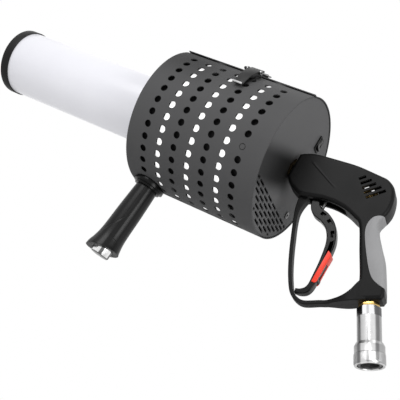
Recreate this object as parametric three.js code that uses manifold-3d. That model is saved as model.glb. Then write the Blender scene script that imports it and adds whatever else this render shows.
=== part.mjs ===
// A hand-held confetti blower: gas fired through a lit, perforated drum drives confetti from a barrel.
// Millimetres, +Z up, muzzle towards -X. The origin is mid hand, on the axis of the gas inlet.
import * as THREE from "three";
import { mergeVertices } from "three/addons/utils/BufferGeometryUtils.js";
import Module from "manifold-3d";

const wasm = await Module();
wasm.setup();

// Clearances and facets
const degree = THREE.MathUtils.degToRad(1);
const seatGap = 0.3;
const overrun = 10;
const weld = 0.0001;
const springGap = 0.0001;
const drumFacets = 36;
const barrelFacets = 24;
const roundFacets = 18;
const tubeFacets = 12;
const boltFacets = 8;
const bitFacets = 6;
const hexFacets = 6;

// Drum: a rolled, perforated sleeve round two plates, closed by a toggle latch
const drumDiameter = 200;
const drumLength = 202;
const sheet = 1.5;
const seamGap = 3;
const seamFacet = 4;
const holeDiameter = 8.8;
const holeSides = 6;
const holePitch = 23.6;
const holeClearFacets = 5;
const frontMargin = 28.2;
const rearMargin = 20;
const plateSheet = 2;
const plateInset = 0.8;
const plateRim = 11;
const plateRimWall = 1.6;

// Vent slots in the lower part of the rear plate, laid like bricks
const ventTop = 54.5;
const ventRows = 7;
const ventRowPitch = 6;
const ventPitch = 22.4;
const ventSlotLength = 16.6;
const ventSlotHeight = 2.6;
const ventMargin = 4.2;
const ventShortest = 6;

// Barrel
const tubeDiameter = 97;
const tubeWall = 3;
const tubeAhead = 289;
const tubeInside = 38;
const muzzleWall = 1.4;
const muzzleLength = 15;
const muzzleLip = 2;
const collarWall = 5;
const collarLength = 12;
const collarFlange = 14;
const collarFlangeSheet = 3;
const collarScrews = 3;
const collarScrew = 4;
const collarScrewHead = 7;
const collarScrewHeadDepth = 2.4;
const collarScrewTail = 3;
const breechSheet = 3;
const nozzleAhead = 2;

// Lighting
const carrierRoom = 5.2;
const carrierWall = 1.2;
const carrierRim = 3.2;
const stripWidth = 10;
const stripThickness = 2.6;
const litColumns = [1, 3, 5];
const batteryWide = 70;
const batteryTall = 38;
const batteryDeep = 20;
const batteryAside = -26;
const batteryUp = 42;
const controllerWide = 46;
const controllerTall = 26;
const controllerDeep = 12;
const controllerAside = 45;
const rockerWide = 15;
const rockerTall = 21;
const rockerRim = 2;
const rockerDepth = 15;
const rockerBodyWide = 13;
const rockerBodyTall = 19;
const rockerAside = 31.5;
const rockerBelowRim = 38.7;
const rockerPocketWide = 9.6;
const rockerPocketTall = 16;
const rockerPocketDepth = 9;
const rockerProud = 2.6;
const rockerSlack = 0.6;
const rockerTilt = THREE.MathUtils.degToRad(8);
const rockerPivotDepth = 1.5;
const rockerButtonShares = [
  [-0.75, -0.3],
  [-0.75, 0.3],
  [-0.1, 0.96],
  [0.86, 1],
  [0.3, 0],
  [0.86, -1],
  [-0.1, -0.96],
];
const socketDiameter = 8;
const socketRimDiameter = 10;
const socketRim = 1.2;
const socketDepth = 12;
const socketHole = 3.4;
const socketHoleDepth = 9;
const socketAside = 60.8;
const socketAboveRim = 55.9;

// Gas line through the drum
const nippleDiameter = 16;
const nippleBore = 7;
const nippleInGun = 12;
const nippleInDrum = 16;
const nutAcross = 24;
const nutRoom = 4;
const innerNut = 7;
const pipeDiameter = 16;
const pipeBore = 10;
const pipeSocketWall = 2.4;

// Gun housing: two moulded shells and a soft grip pad
const axisHeight = 75.6;
const noseReach = 145.3;
const bodyLength = 140;
const bodyRise = 32;
const bodyDrop = 29.5;
const gunHalf = 16;
const gunRound = 5;
const gunRoundSteps = 2;
const shellWall = 3;
const partingGap = 0.3;
const gripRake = THREE.MathUtils.degToRad(28);
const gripFront = 9.2;
const gripRear = 20.6;
const gripDown = 54.5;
const bodyTopShares = [
  [0, 0.56],
  [0.036, 0.67],
  [0.15, 0.84],
  [0.364, 0.94],
  [0.557, 1],
  [0.771, 0.95],
  [0.871, 0.89],
  [0.95, 0.64],
  [0.989, 0.25],
  [1, -0.19],
];
const gripRearShares = [
  [-0.982, 0.762],
  [-0.75, 0.573],
  [-0.396, 0.748],
  [-0.015, 0.956],
  [0.354, 1],
  [0.917, 0.971],
  [1, 0.8],
];
const gripFrontShares = [
  [1, -1.7],
  [0.77, -1.52],
  [0.6, -1.14],
  [0.37, -1],
  [-0.81, -1.02],
];
const bodyUnderShares = [
  [0.771, -1.119],
  [0.7, -1],
  [0.093, -1],
  [0.032, -0.81],
  [0, -0.61],
];
const guardReach = 95.5;
const guardDown = 52.2;
const guardShares = [
  [-1.84, -0.806],
  [-1.494, -0.907],
  [-1.169, -0.949],
  [-0.536, -0.984],
  [-0.01, -1],
  [0.421, -0.995],
  [0.728, -0.969],
  [0.91, -0.901],
  [0.996, -0.806],
  [1, -0.628],
  [0.987, -0.419],
  [0.958, -0.251],
  [0.92, -0.105],
];
const guardThickness = 4.6;
const guardThicknessShares = [3, 1.6, 1.04, 1, 1, 1, 1, 1.04, 1.08, 1, 1.3, 1.9, 2.6];
const guardHalf = 5;
const guardRound = 1.2;
const mouthAhead = 106.3;
const mouthLength = 51;
const mouthHalf = 8;
const sideSlotWidth = 4;
const sideSlotPitch = 7.05;
const sideSlotLengths = [9.8, 14.8, 18.2, 22.8, 26];
const sideSlotAhead = 57.3;
const sideSlotUp = 14.4;
const sideSlotSlope = THREE.MathUtils.degToRad(45);
const padThickness = 2.6;
const padShares = [
  [-0.963, 1.039],
  [-0.875, 0.33],
  [-0.67, -0.068],
  [-0.165, -0.019],
  [0.455, 0.175],
  [0.706, 0.752],
  [0.811, 1.097],
  [0.811, 2],
  [-0.963, 2],
];
const screwDiameter = 3;
const screwHeadDiameter = 6;
const screwHeadDepth = 2.4;
const screwSink = 1.5;
const screwTail = 9;
const screwBoss = 7.4;
const bodyScrewShares = [
  [0.107, 0.55],
  [0.918, 0.09],
  [0.7, -0.64],
];
const gripScrewShares = [0.85, 0.63];
const padBackShares = [
  [-1.02, 0.2],
  [0.87, 0.2],
  [0.87, 2],
  [-1.02, 2],
];

// Trigger, its pin and the red lock on it
const pivotAhead = 99.3;
const pivotDrop = 24;
const pinDiameter = 5;
const pinHalf = 13;
const pinBoss = 10;
const triggerDown = 125.5;
const triggerSweep = 52.3;
const triggerShares = [
  [0, 0],
  [0.057, -0.064],
  [0.134, -0.12],
  [0.258, -0.143],
  [0.574, -0.207],
  [0.841, -0.319],
  [0.946, -0.454],
  [0.99, -0.637],
  [1, -0.829],
  [0.956, -0.932],
  [0.88, -0.98],
  [0.774, -1],
];
const triggerDepth = 6.5;
const triggerDepthShares = [1.3, 1.05, 1, 1, 1, 1, 1, 1, 1, 1, 0.85, 0.6];
const triggerHalf = 5;
const triggerRound = 1;
const triggerHead = 13;
const shoulder = 10.4;
const shoulderStep = 3;
const channelHalf = 3.2;
const channelDepth = 3.6;
const channelFirstStep = 4;
const channelLastStep = 10;
const lockLength = 41;
const lockHalf = 2.9;
const lockRearDepth = 3.2;
const lockFrontDepth = 2.2;
const lockDown = 101;
const lockOut = 54.4;
const lockEar = 6.8;
const lockPinDiameter = 3;

// Valve inside the gun
const valveDiameter = 22;
const valveRear = 26;
const stemAhead = 85.8;
const stemDiameter = 5;
const stemTip = 36.6;
const stemTipDiameter = 3;
const stemGuide = 12;
const stemGuideDrop = 18;
const seatTop = 3.5;
const seatThickness = 2.5;
const seatBore = 7;
const headDiameter = 9;
const headLength = 4;
const nubDiameter = 4;
const nubLength = 3;
const chamberDiameter = 12.4;
const chamberBoss = 20;
const chamberTop = 22;
const lowerRoom = 9;
const lowerRoomDepth = 6;
const gasBore = 6;
const outletDrop = 3;
const inletRise = 6.5;
const capAcross = 17;
const capThreadLength = 5;
const capHeadLength = 3.2;
const capHollow = 9.2;
const capHollowTop = 1.4;
const valveSpringWire = 1;
const valveSpringMean = 6.8;
const valveSpringTurns = 4;
const lineOuter = 11;
const lineBore = 6;
const lineSocket = 18;
const lineSocketTop = 38;
const lineEntry = 10;
const inletBoss = 17;
const inletBossDown = 21.6;
const inletBoreUp = 6.4;

// Inlet nipple and quick coupler under the grip, along the raked axis
const inletAcross = 22;
const inletHexLength = 4.9;
const inletUpper = 12;
const inletUpperLength = 12.5;
const inletLower = 16.4;
const inletLowerLength = 16;
const inletBore = 8;
const couplerDiameter = 29.2;
const couplerFlats = 25.4;
const couplerHexLength = 12;
const couplerLength = 70.6;
const couplerNeck = 26.4;
const couplerNeckLength = 23.6;
const couplerCavity = 21;
const couplerCavityTop = 16.3;
const couplerSeatBore = 14.4;
const couplerSeatLength = 6;
const couplerSocket = 21.2;
const couplerSocketDepth = 18.6;
const couplerMouth = 23.6;
const mouthChamfer = 1.2;
const sleeveDiameter = 37.4;
const sleeveWaist = 36.2;
const sleeveRear = 32.4;
const sleeveOverBody = 3;
const sleeveShoulder = 4;
const sleeveBand = 11;
const sleeveBandEnd = 2.4;
const sleeveSpringRoom = 12;
const sleeveRoomDiameter = 32.2;
const sleeveProud = 0.7;
const sleeveRecess = 30;
const ringInner = 25.8;
const ringOuter = 29.2;
const ringThickness = 1.1;
const ringBack = 0.85;
const ringGroove = 25.4;
const ringSplit = 4;
const poppetDisc = 19;
const poppetDiscLength = 5.7;
const poppetNose = 13;
const poppetNoseLength = 8;
const poppetStem = 6;
const poppetStemLength = 16;
const poppetSpringWire = 1.4;
const poppetSpringMean = 15;
const poppetSpringTurns = 4;
const sleeveSpringWire = 1.2;
const sleeveSpringMean = 30.2;
const sleeveSpringTurns = 3;
const curlSteps = 8;
const curlSides = 5;

// Fore grip, bolted through the first column of holes under the drum
const foreRake = THREE.MathUtils.degToRad(3.5);
const foreTop = 31;
const foreWaist = 36;
const foreFoot = 48;
const foreLength = 117;
const foreFootSlope = THREE.MathUtils.degToRad(13);
const foreShares = [
  [0.72, 0],
  [0.86, 0.45],
  [0.94, 0.9],
  [1, 1],
];
const foreWaistShare = 0.7;
const saddleDiameter = 46;
const saddleStep = 39;
const saddleFlange = 4.5;
const saddleHeight = 7.5;
const foreCap = 28;
const foreCapHidden = 22;
const foreCapProud = 2.5;
const foreBolt = 8;
const foreBoltDown = 40;
const foreBoltHead = 13;
const foreBoltHeadDepth = 3.6;

// Toggle latch across the sleeve's seam, laid out about the lever's hinge
const latchTurn = 38;
const latchBehindFront = 115.3;
const latchSheet = 1.5;
const latchHingeHeight = 7;
const latchPinDiameter = 3;
const latchPinBall = 4.6;
const leverHalf = 9;
const leverLength = 48;
const leverRise = 4.2;
const leverShares = [
  [-0.067, 0.4],
  [-0.03, 0.76],
  [0.03, 0.86],
  [0.19, 0.85],
  [0.38, 0.5],
  [0.58, -0.55],
  [0.79, -2.05],
  [0.93, -3.2],
  [0.985, -3.1],
  [1, -2.5],
];
const leverFlangeShares = [
  [-0.06, -0.2],
  [-0.055, 0.65],
  [0.03, 0.86],
  [0.19, 0.85],
  [0.38, 0.5],
  [0.58, -0.55],
  [0.62, -1.25],
  [0.46, -1.3],
  [0.2, -0.95],
  [0, -0.75],
];
const bailArm = 9;
const bailLean = THREE.MathUtils.degToRad(8);
const bailHalf = 10.3;
const bailWire = 2;
const bailEye = 6;
const bailTurn = 25;
const bailHeight = 3.4;
const baseHalf = 7.2;
const baseTurns = [36.8, 60.5];
const earDiameter = 5.2;
const earNeckShare = 0.25;
const earFootTurns = [0.54, 5.4];
const keeperTurns = [13, 27];
const keeperHalf = 7;
const keeperHeight = 5.6;
const rivetDiameter = 3;
const rivetHead = 5;
const rivetRise = 1;
const rivetAside = 3.7;
const baseRivetTurns = [47, 57];
const keeperRivetTurn = 17;
const keeperRivetAside = 4;

// Positions that follow from the sizes above
const fullTurn = Math.PI * 2;
const facetAngle = fullTurn / drumFacets;
const drumRadius = drumDiameter / 2;
const innerRadius = drumRadius - sheet;
const drumRear = -noseReach - nutRoom;
const drumFront = drumRear - drumLength;
const plateOuter = drumRear - plateInset;
const plateInner = plateOuter - plateSheet;
const frontOuter = drumFront + plateInset;
const frontInner = frontOuter + plateSheet;
const plateRadius = innerRadius - seatGap;
const ventReach = plateRadius - ventMargin;
const rockerUp = plateRadius - rockerBelowRim;
const socketDown = plateRadius - socketAboveRim;
const carrierRadius = plateRadius - carrierRoom;
const latchHingeRadius = drumRadius + latchHingeHeight;
const holeColumns = 1 + Math.floor((drumLength - frontMargin - rearMargin) / holePitch);
const tubeFront = drumFront - tubeAhead;
const tubeRear = drumFront + tubeInside;
const tubeRadius = tubeDiameter / 2;
const muzzleRadius = tubeRadius + seatGap + muzzleWall;

// A closed geometry becomes a solid whose faces point outwards.
function solid(geometry) {
  const bare = geometry.index ? geometry.toNonIndexed() : geometry;
  const points = new THREE.BufferGeometry().setAttribute("position", bare.getAttribute("position"));
  const merged = mergeVertices(points, weld);
  const corners = [];
  for (let i = 0; i < merged.index.count; i += 3) {
    const [a, b, c] = [0, 1, 2].map((k) => merged.index.getX(i + k));
    if (a !== b && b !== c && c !== a) corners.push(a, b, c);
  }
  const vertProperties = merged.attributes.position.array;
  const make = () =>
    new wasm.Manifold(new wasm.Mesh({ numProp: 3, vertProperties, triVerts: new Uint32Array(corners) }));
  const first = make();
  if (first.volume() > 0) return first;
  for (let i = 0; i < corners.length; i += 3) {
    [corners[i + 1], corners[i + 2]] = [corners[i + 2], corners[i + 1]];
  }
  return make();
}

function geometryOf(body) {
  const mesh = body.getMesh();
  const geometry = new THREE.BufferGeometry();
  geometry.setAttribute("position", new THREE.BufferAttribute(mesh.vertProperties, 3));
  geometry.setIndex(new THREE.BufferAttribute(mesh.triVerts, 1));
  geometry.computeVertexNormals();
  return geometry;
}

const asSolid = (body) => (body instanceof THREE.BufferGeometry ? solid(body) : body);

function joined(...bodies) {
  return bodies.map(asSolid).reduce((sum, body) => sum.add(body));
}

function cut(body, ...tools) {
  return tools.map(asSolid).reduce((rest, tool) => rest.subtract(tool), asSolid(body));
}

const vectors = (points) => points.map(([a, b]) => new THREE.Vector2(a, b));

// Turned about Z: profile points are [height, radius] and close on themselves or on the axis.
function turned(profile, sides) {
  const points = vectors(profile.map(([along, radius]) => [radius, along]));
  return new THREE.LatheGeometry(points, sides).rotateX(Math.PI / 2);
}

// Turned about X, with corners at odd half facets, so that every round piece of the drum lines up.
function turnedX(profile, sides = drumFacets) {
  const points = vectors(profile.map(([along, radius]) => [radius, along]));
  return new THREE.LatheGeometry(points, sides, fullTurn / sides / 2).rotateZ(-Math.PI / 2);
}

function ringProfile(from, to, inner, outer) {
  return [
    [from, inner],
    [to, inner],
    [to, outer],
    [from, outer],
    [from, inner],
  ];
}

function rodProfile(from, to, radius) {
  return [
    [from, 0],
    [from, radius],
    [to, radius],
    [to, 0],
  ];
}

const rod = (from, to, radius, sides = boltFacets) => turned(rodProfile(from, to, radius), sides);
const rodX = (from, to, radius, sides = tubeFacets) => turnedX(rodProfile(from, to, radius), sides);
const hexRadius = (across) => across / 2 / Math.cos(Math.PI / hexFacets);

// A rod across the gun, along Y
function rodY(x, z, from, to, radius, sides = boltFacets) {
  return rod(from, to, radius, sides).rotateX(-Math.PI / 2).translate(x, 0, z);
}

// A rod between two points
function strut(from, to, radius, sides = bitFacets) {
  const start = new THREE.Vector3(...from);
  const along = new THREE.Vector3(...to).sub(start);
  const turn = new THREE.Quaternion().setFromUnitVectors(
    new THREE.Vector3(0, 0, 1),
    along.clone().normalize(),
  );
  return rod(0, along.length(), radius, sides).applyQuaternion(turn).translate(...from);
}

const block = (width, depth, height, x, y, z) =>
  new THREE.BoxGeometry(width, depth, height).translate(x, y, z);

// An outline in the X-Z plane, extruded to both sides of Y = 0 and rounded at both faces.
function slab(points, half, round = 0, steps = 1) {
  const geometry = new THREE.ExtrudeGeometry(new THREE.Shape(vectors(points)), {
    depth: 2 * (half - round),
    bevelEnabled: round > 0,
    bevelThickness: round,
    bevelSize: round,
    bevelOffset: -round,
    bevelSegments: steps,
  });
  return geometry.translate(0, 0, round - half).rotateX(Math.PI / 2);
}

// An outline in the Y-Z plane, extruded along X.
function plate(shape, from, to) {
  const outline = Array.isArray(shape) ? new THREE.Shape(vectors(shape)) : shape;
  const geometry = new THREE.ExtrudeGeometry(outline, { depth: to - from, bevelEnabled: false });
  const axes = new THREE.Matrix4().makeBasis(
    new THREE.Vector3(0, 1, 0),
    new THREE.Vector3(0, 0, 1),
    new THREE.Vector3(1, 0, 0),
  );
  return geometry.applyMatrix4(axes).translate(from, 0, 0);
}

function rectanglePath(wide, tall, aside, up) {
  const corners = [
    [-1, -1],
    [1, -1],
    [1, 1],
    [-1, 1],
  ];
  return new THREE.Path(vectors(corners.map(([a, b]) => [aside + (a * wide) / 2, up + (b * tall) / 2])));
}

function circlePoints(radius, sides, aside = 0, up = 0) {
  const points = [];
  for (let i = 0; i < sides; i += 1) {
    const angle = ((i + 0.5) * fullTurn) / sides;
    points.push([aside - radius * Math.sin(angle), up + radius * Math.cos(angle)]);
  }
  return points;
}

const circlePath = (...sizes) => new THREE.Path(vectors(circlePoints(...sizes)));

// The outline of a band that follows a centre line with its own thickness at each point.
function band(centre, thicknesses) {
  const curve = vectors(centre);
  const left = [];
  const right = [];
  curve.forEach((point, i) => {
    const before = curve[Math.max(i - 1, 0)];
    const after = curve[Math.min(i + 1, curve.length - 1)];
    const along = after.clone().sub(before).normalize();
    const across = new THREE.Vector2(-along.y, along.x).multiplyScalar(thicknesses[i] / 2);
    left.push(point.clone().add(across).toArray());
    right.unshift(point.clone().sub(across).toArray());
  });
  return [...left, ...right];
}

// A line moved sideways by one distance, to its right seen along it.
function shifted(line, distance) {
  const curve = vectors(line);
  return curve.map((point, i) => {
    const before = curve[Math.max(i - 1, 0)];
    const after = curve[Math.min(i + 1, curve.length - 1)];
    const along = after.clone().sub(before).normalize();
    return [point.x + along.y * distance, point.y - along.x * distance];
  });
}

// A closed outline moved inwards by one distance.
function inset(points, distance) {
  const curve = vectors(points);
  const side = Math.sign(THREE.ShapeUtils.area(curve)) * distance;
  return curve.map((point, i) => {
    const into = point.clone().sub(curve.at(i - 1)).normalize();
    const out = curve[(i + 1) % curve.length].clone().sub(point).normalize();
    const scale = side / (1 + into.dot(out));
    return [point.x - (into.y + out.y) * scale, point.y + (into.x + out.x) * scale];
  });
}

// A coil spring along Z, one unbroken tube of few sides.
function coil(from, to, meanDiameter, wire, turns) {
  const count = turns * curlSteps;
  const rise = to - from - wire;
  const positions = [];
  for (let i = 0; i <= count; i += 1) {
    const angle = (i / curlSteps) * fullTurn;
    const height = from + wire / 2 + (rise * i) / count;
    for (let k = 0; k < curlSides; k += 1) {
      const turn = (k / curlSides) * fullTurn;
      const radius = (meanDiameter + wire * Math.cos(turn)) / 2;
      const up = height + (wire / 2) * Math.sin(turn);
      positions.push(radius * Math.cos(angle), radius * Math.sin(angle), up);
    }
  }
  const index = [];
  for (let i = 0; i < count; i += 1) {
    for (let k = 0; k < curlSides; k += 1) {
      const next = (k + 1) % curlSides;
      const [a, b] = [i * curlSides + k, i * curlSides + next];
      index.push(a, a + curlSides, b, b, a + curlSides, b + curlSides);
    }
  }
  const last = count * curlSides;
  for (let k = 1; k < curlSides - 1; k += 1) {
    index.push(0, k, k + 1, last, last + k + 1, last + k);
  }
  const geometry = new THREE.BufferGeometry();
  geometry.setAttribute("position", new THREE.Float32BufferAttribute(positions, 3));
  geometry.setIndex(index);
  console.log("gap between curls " + (rise / turns - wire).toFixed(2) + " mm");
  return geometry;
}

// Finishes
const finish = (color, roughness, metalness) => ({ color, roughness, metalness });
const powderCoat = finish(0x4b4b4d, 0.55, 0.1);
const plateCoat = finish(0x5a5a5c, 0.55, 0.1);
const opalAcrylic = finish(0xe2e2e8, 0.25, 0);
const blackPlastic = finish(0x1c1c1e, 0.45, 0);
const glossPlastic = finish(0x141416, 0.25, 0);
const greyRubber = finish(0x808285, 0.7, 0);
const redPlastic = finish(0xf0412c, 0.4, 0);
const whiteStrip = finish(0xf6f6f4, 0.4, 0);
const brass = finish(0xc9a24a, 0.3, 1);
const steel = finish(0xb9bbbd, 0.3, 1);
const darkSteel = finish(0x2c2c2e, 0.4, 0.6);

const blower = new THREE.Group();
const barrelAxis = new THREE.Group();
barrelAxis.position.z = axisHeight;
const handAxis = new THREE.Group();
handAxis.rotation.y = -gripRake;
const latchAxis = new THREE.Group();
latchAxis.rotation.x = latchTurn * degree;
blower.add(barrelAxis, handAxis);
barrelAxis.add(latchAxis);

function addPiece(group, name, body, look) {
  const mesh = new THREE.Mesh(geometryOf(asSolid(body)), new THREE.MeshStandardMaterial(look));
  mesh.name = name;
  group.add(mesh);
}

// Flat facets with drilled columns of holes, rolled round and left open at the seam
function rolledSleeve() {
  const half = facetAngle / 2;
  const holeRadius = (holeDiameter / 2) * Math.sqrt(fullTurn / holeSides / Math.sin(fullTurn / holeSides));
  const seamTurn = seamGap / drumDiameter;
  const width = drumDiameter * Math.sin(half);
  const positions = [];
  const index = [];
  const push = (x, y, z) => positions.push(x, y, z) / 3 - 1;
  const quad = (a, b, c, d) => index.push(a, b, c, a, c, d);
  const edge = (radius, facet) => {
    const trim = facet === 0 ? seamTurn : facet === drumFacets ? -seamTurn : 0;
    const angle = (seamFacet + facet) * facetAngle - half + trim;
    const place = (x) => push(x, -radius * Math.sin(angle), radius * Math.cos(angle));
    return [place(drumFront), place(drumRear)];
  };
  const edges = [];
  for (let facet = 0; facet <= drumFacets; facet += 1) {
    edges.push({ outer: edge(drumRadius, facet), inner: edge(innerRadius, facet) });
  }
  const contour = vectors([
    [drumFront, 0],
    [drumRear, 0],
    [drumRear, width],
    [drumFront, width],
  ]);
  for (let facet = 0; facet < drumFacets; facet += 1) {
    const turn = seamFacet + facet;
    const angle = turn * facetAngle;
    const drilled = turn >= holeClearFacets && turn <= drumFacets - holeClearFacets;
    const onFacet = (radius, x, across) => {
      const middle = radius * Math.cos(half);
      const y = -middle * Math.sin(angle) - across * Math.cos(angle);
      const z = middle * Math.cos(angle) - across * Math.sin(angle);
      return push(x, y, z);
    };
    const holes = [];
    const rims = [];
    for (let column = 0; drilled && column < holeColumns; column += 1) {
      const centre = drumFront + frontMargin + column * holePitch;
      const hole = circlePoints(holeRadius, holeSides, centre, 0);
      holes.push(vectors(hole.map(([x, across]) => [x, width / 2 + across])));
      rims.push(
        hole.map(([x, across]) => ({
          outer: onFacet(drumRadius, x, across),
          inner: onFacet(innerRadius, x, across),
        })),
      );
    }
    const [low, high] = [edges[facet], edges[facet + 1]];
    const skin = (side) =>
      [low[side][0], low[side][1], high[side][1], high[side][0]].concat(rims.flat().map((p) => p[side]));
    const [outer, inner] = [skin("outer"), skin("inner")];
    for (const [a, b, c] of THREE.ShapeUtils.triangulateShape(contour.slice(), holes)) {
      index.push(outer[a], outer[c], outer[b], inner[a], inner[b], inner[c]);
    }
    for (const rim of rims) {
      rim.forEach((point, k) => {
        const next = rim[(k + 1) % holeSides];
        quad(point.outer, point.inner, next.inner, next.outer);
      });
    }
    quad(low.outer[0], low.inner[0], high.inner[0], high.outer[0]);
    quad(low.outer[1], high.outer[1], high.inner[1], low.inner[1]);
  }
  const [start, end] = [edges[0], edges[drumFacets]];
  quad(start.outer[0], start.outer[1], start.inner[1], start.inner[0]);
  quad(end.outer[0], end.inner[0], end.inner[1], end.outer[1]);
  const geometry = new THREE.BufferGeometry();
  geometry.setAttribute("position", new THREE.Float32BufferAttribute(positions, 3));
  geometry.setIndex(index);
  return geometry;
}

// Toggle latch: outlines in its own frame, [along the drum's skin, out from the axis], hinge at the top
const latchMiddle = drumFront + latchBehindFront;
const latchHinge = [0, latchHingeRadius];
const bailPivot = [
  bailArm * Math.cos(bailLean),
  latchHingeRadius + bailArm * Math.sin(bailLean),
];

function onDrum(turn, height) {
  const facet = Math.round(turn / (facetAngle / degree)) * (facetAngle / degree);
  const flat = Math.cos(facetAngle / 2) / Math.cos((turn - facet) * degree);
  const radius = drumRadius * flat + height;
  const angle = (turn - latchTurn) * degree;
  return [radius * Math.sin(angle), radius * Math.cos(angle)];
}

// A sheet that follows the drum's facets between two turns
function wrapped(turns, low, high, half) {
  const facetTurn = facetAngle / degree;
  const stops = [turns[0]];
  for (let corner = facetTurn / 2; corner < turns[1]; corner += facetTurn) {
    if (corner > turns[0]) stops.push(corner);
  }
  stops.push(turns[1]);
  const outer = stops.map((turn) => onDrum(turn, high));
  const inner = stops.map((turn) => onDrum(turn, low)).reverse();
  return latchPlate([...outer, ...inner], -half, half);
}

function latchPlate(points, from, to) {
  return plate(points.map(([along, out]) => [-along, out]), latchMiddle + from, latchMiddle + to);
}

function latchRod([along, out], from, to, radius, sides = boltFacets) {
  return rodX(latchMiddle + from, latchMiddle + to, radius, sides).translate(0, -along, out);
}

const sheetTop = seatGap + latchSheet;
const pinHole = latchPinDiameter / 2 + seatGap;
const earCentre = baseHalf - latchSheet;
const rivetShank = rivetDiameter / 2;

function earPlate(from) {
  const foot = earFootTurns.map((turn) => onDrum(latchTurn + turn, sheetTop - latchSheet / 2));
  const neck = [
    [earDiameter / 2, latchHingeRadius],
    [-earDiameter * earNeckShare, latchHingeRadius - earDiameter / 2],
  ];
  return joined(
    latchPlate([...foot, ...neck], from, from + latchSheet),
    latchRod(latchHinge, from, from + latchSheet, earDiameter / 2),
  );
}

const rivets = [
  ...baseRivetTurns.map((turn) => [turn, latchMiddle - rivetAside]),
  ...[-1, 1].map((side) => [keeperRivetTurn, latchMiddle + side * keeperRivetAside]),
];

function rivetRod([turn, x], from, to, radius) {
  const angle = (turn - latchTurn) * degree;
  return rod(from, to, radius, bitFacets).rotateX(angle).translate(x, 0, 0);
}

const rivetHole = (place) =>
  rivetRod(place, innerRadius - overrun, drumRadius + overrun, rivetShank + seatGap);
const rivetHoles = rivets.map(rivetHole);
const latchBase = cut(
  joined(wrapped(baseTurns, seatGap, sheetTop, baseHalf), earPlate(earCentre), earPlate(-baseHalf)),
  latchRod(latchHinge, -bailHalf, bailHalf, pinHole),
  ...rivetHoles,
);
addPiece(latchAxis, "latch_base", latchBase, darkSteel);
addPiece(
  latchAxis,
  "latch_hinge_pin",
  latchRod(latchHinge, -leverHalf, leverHalf, latchPinDiameter / 2),
  steel,
);

const leverPoint = ([along, up]) => [along * leverLength, latchHingeRadius + up * leverRise];
const leverWeb = latchPlate(
  band(leverShares.map(leverPoint), leverShares.map(() => latchSheet)),
  -leverHalf,
  leverHalf,
);
const leverFlange = (from) => latchPlate(leverFlangeShares.map(leverPoint), from, from + latchSheet);
const lever = cut(
  joined(leverWeb, leverFlange(-leverHalf), leverFlange(leverHalf - latchSheet)),
  latchRod(latchHinge, -bailHalf, bailHalf, pinHole),
  latchRod(bailPivot, -bailHalf, bailHalf, pinHole),
);
addPiece(latchAxis, "latch_lever", lever, darkSteel);

const bailReach = bailHalf + bailWire / 2;
const pinReach = bailReach + seatGap;
const ballOut = pinReach + latchPinBall / 2;
const pinBall = new THREE.SphereGeometry(latchPinBall / 2, bitFacets, hexFacets)
  .rotateZ(Math.PI / 2)
  .translate(latchMiddle - ballOut, -bailPivot[0], bailPivot[1]);
addPiece(
  latchAxis,
  "latch_pin",
  joined(latchRod(bailPivot, -ballOut, pinReach, latchPinDiameter / 2), pinBall),
  steel,
);

const bailEnd = onDrum(bailTurn, bailHeight);
const crossbar = latchRod(bailEnd, -bailReach, bailReach, bailWire / 2, bitFacets);
const bailSides = [-1, 1].flatMap((side) => {
  const x = latchMiddle + side * bailHalf;
  const toward = [-bailEnd[0], bailEnd[1]];
  const eye = latchRod(bailPivot, -bailWire / 2, bailWire / 2, bailEye / 2).translate(side * bailHalf, 0, 0);
  return [strut([x, -bailPivot[0], bailPivot[1]], [x, ...toward], bailWire / 2), eye];
});
const bail = cut(joined(crossbar, ...bailSides), latchRod(bailPivot, -pinReach, pinReach, pinHole));
addPiece(latchAxis, "latch_bail", bail, steel);

const tabFace = onDrum(bailTurn, 0)[0] + bailWire / 2 + seatGap;
const tab = [
  [tabFace, onDrum(keeperTurns[1], seatGap)[1]],
  [tabFace + latchSheet, onDrum(keeperTurns[1], seatGap)[1]],
  [tabFace + latchSheet, onDrum(keeperTurns[1], keeperHeight)[1]],
  [tabFace, onDrum(keeperTurns[1], keeperHeight)[1]],
];
const keeper = cut(
  joined(wrapped(keeperTurns, seatGap, sheetTop, keeperHalf), latchPlate(tab, -keeperHalf, keeperHalf)),
  ...rivetHoles,
);
addPiece(latchAxis, "latch_keeper", keeper, darkSteel);

rivets.forEach((place, i) => {
  const middle = drumRadius * Math.cos(facetAngle / 2);
  const head = rivetRod(place, middle + sheetTop + seatGap, middle + sheetTop + rivetRise, rivetHead / 2);
  const shank = rivetRod(place, middle - sheet - rivetRise, middle + sheetTop + seatGap, rivetShank);
  const tail = rivetRod(place, middle - sheet - rivetRise, middle - sheet - seatGap, rivetHead / 2);
  addPiece(latchAxis, "latch_rivet_" + (i + 1), joined(head, shank, tail), steel);
});

const sleeveHoles = rivets.map((place) => rivetHole(place).rotateX(latchTurn * degree));
addPiece(barrelAxis, "perforated_sleeve", cut(rolledSleeve(), ...sleeveHoles), powderCoat);

// End plates: each a disc with a rim turned inwards
const rimRing = (from, to) => turnedX(ringProfile(from, to, plateRadius - plateRimWall, plateRadius));
const discShape = () => new THREE.Shape(vectors(circlePoints(plateRadius, drumFacets)));

function ventSlots() {
  const slots = [];
  for (let row = 0; row < ventRows; row += 1) {
    const down = ventTop + row * ventRowPitch;
    const reach = Math.sqrt(ventReach ** 2 - down ** 2);
    const shift = row % 2 ? 0 : 0.5;
    const most = Math.ceil(reach / ventPitch) + 1;
    for (let i = -most; i <= most; i += 1) {
      const centre = (i + shift) * ventPitch;
      const low = Math.max(centre - ventSlotLength / 2, -reach);
      const high = Math.min(centre + ventSlotLength / 2, reach);
      if (high - low >= ventShortest) slots.push([high - low, ventSlotHeight, (low + high) / 2, -down]);
    }
  }
  return slots;
}

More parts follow.
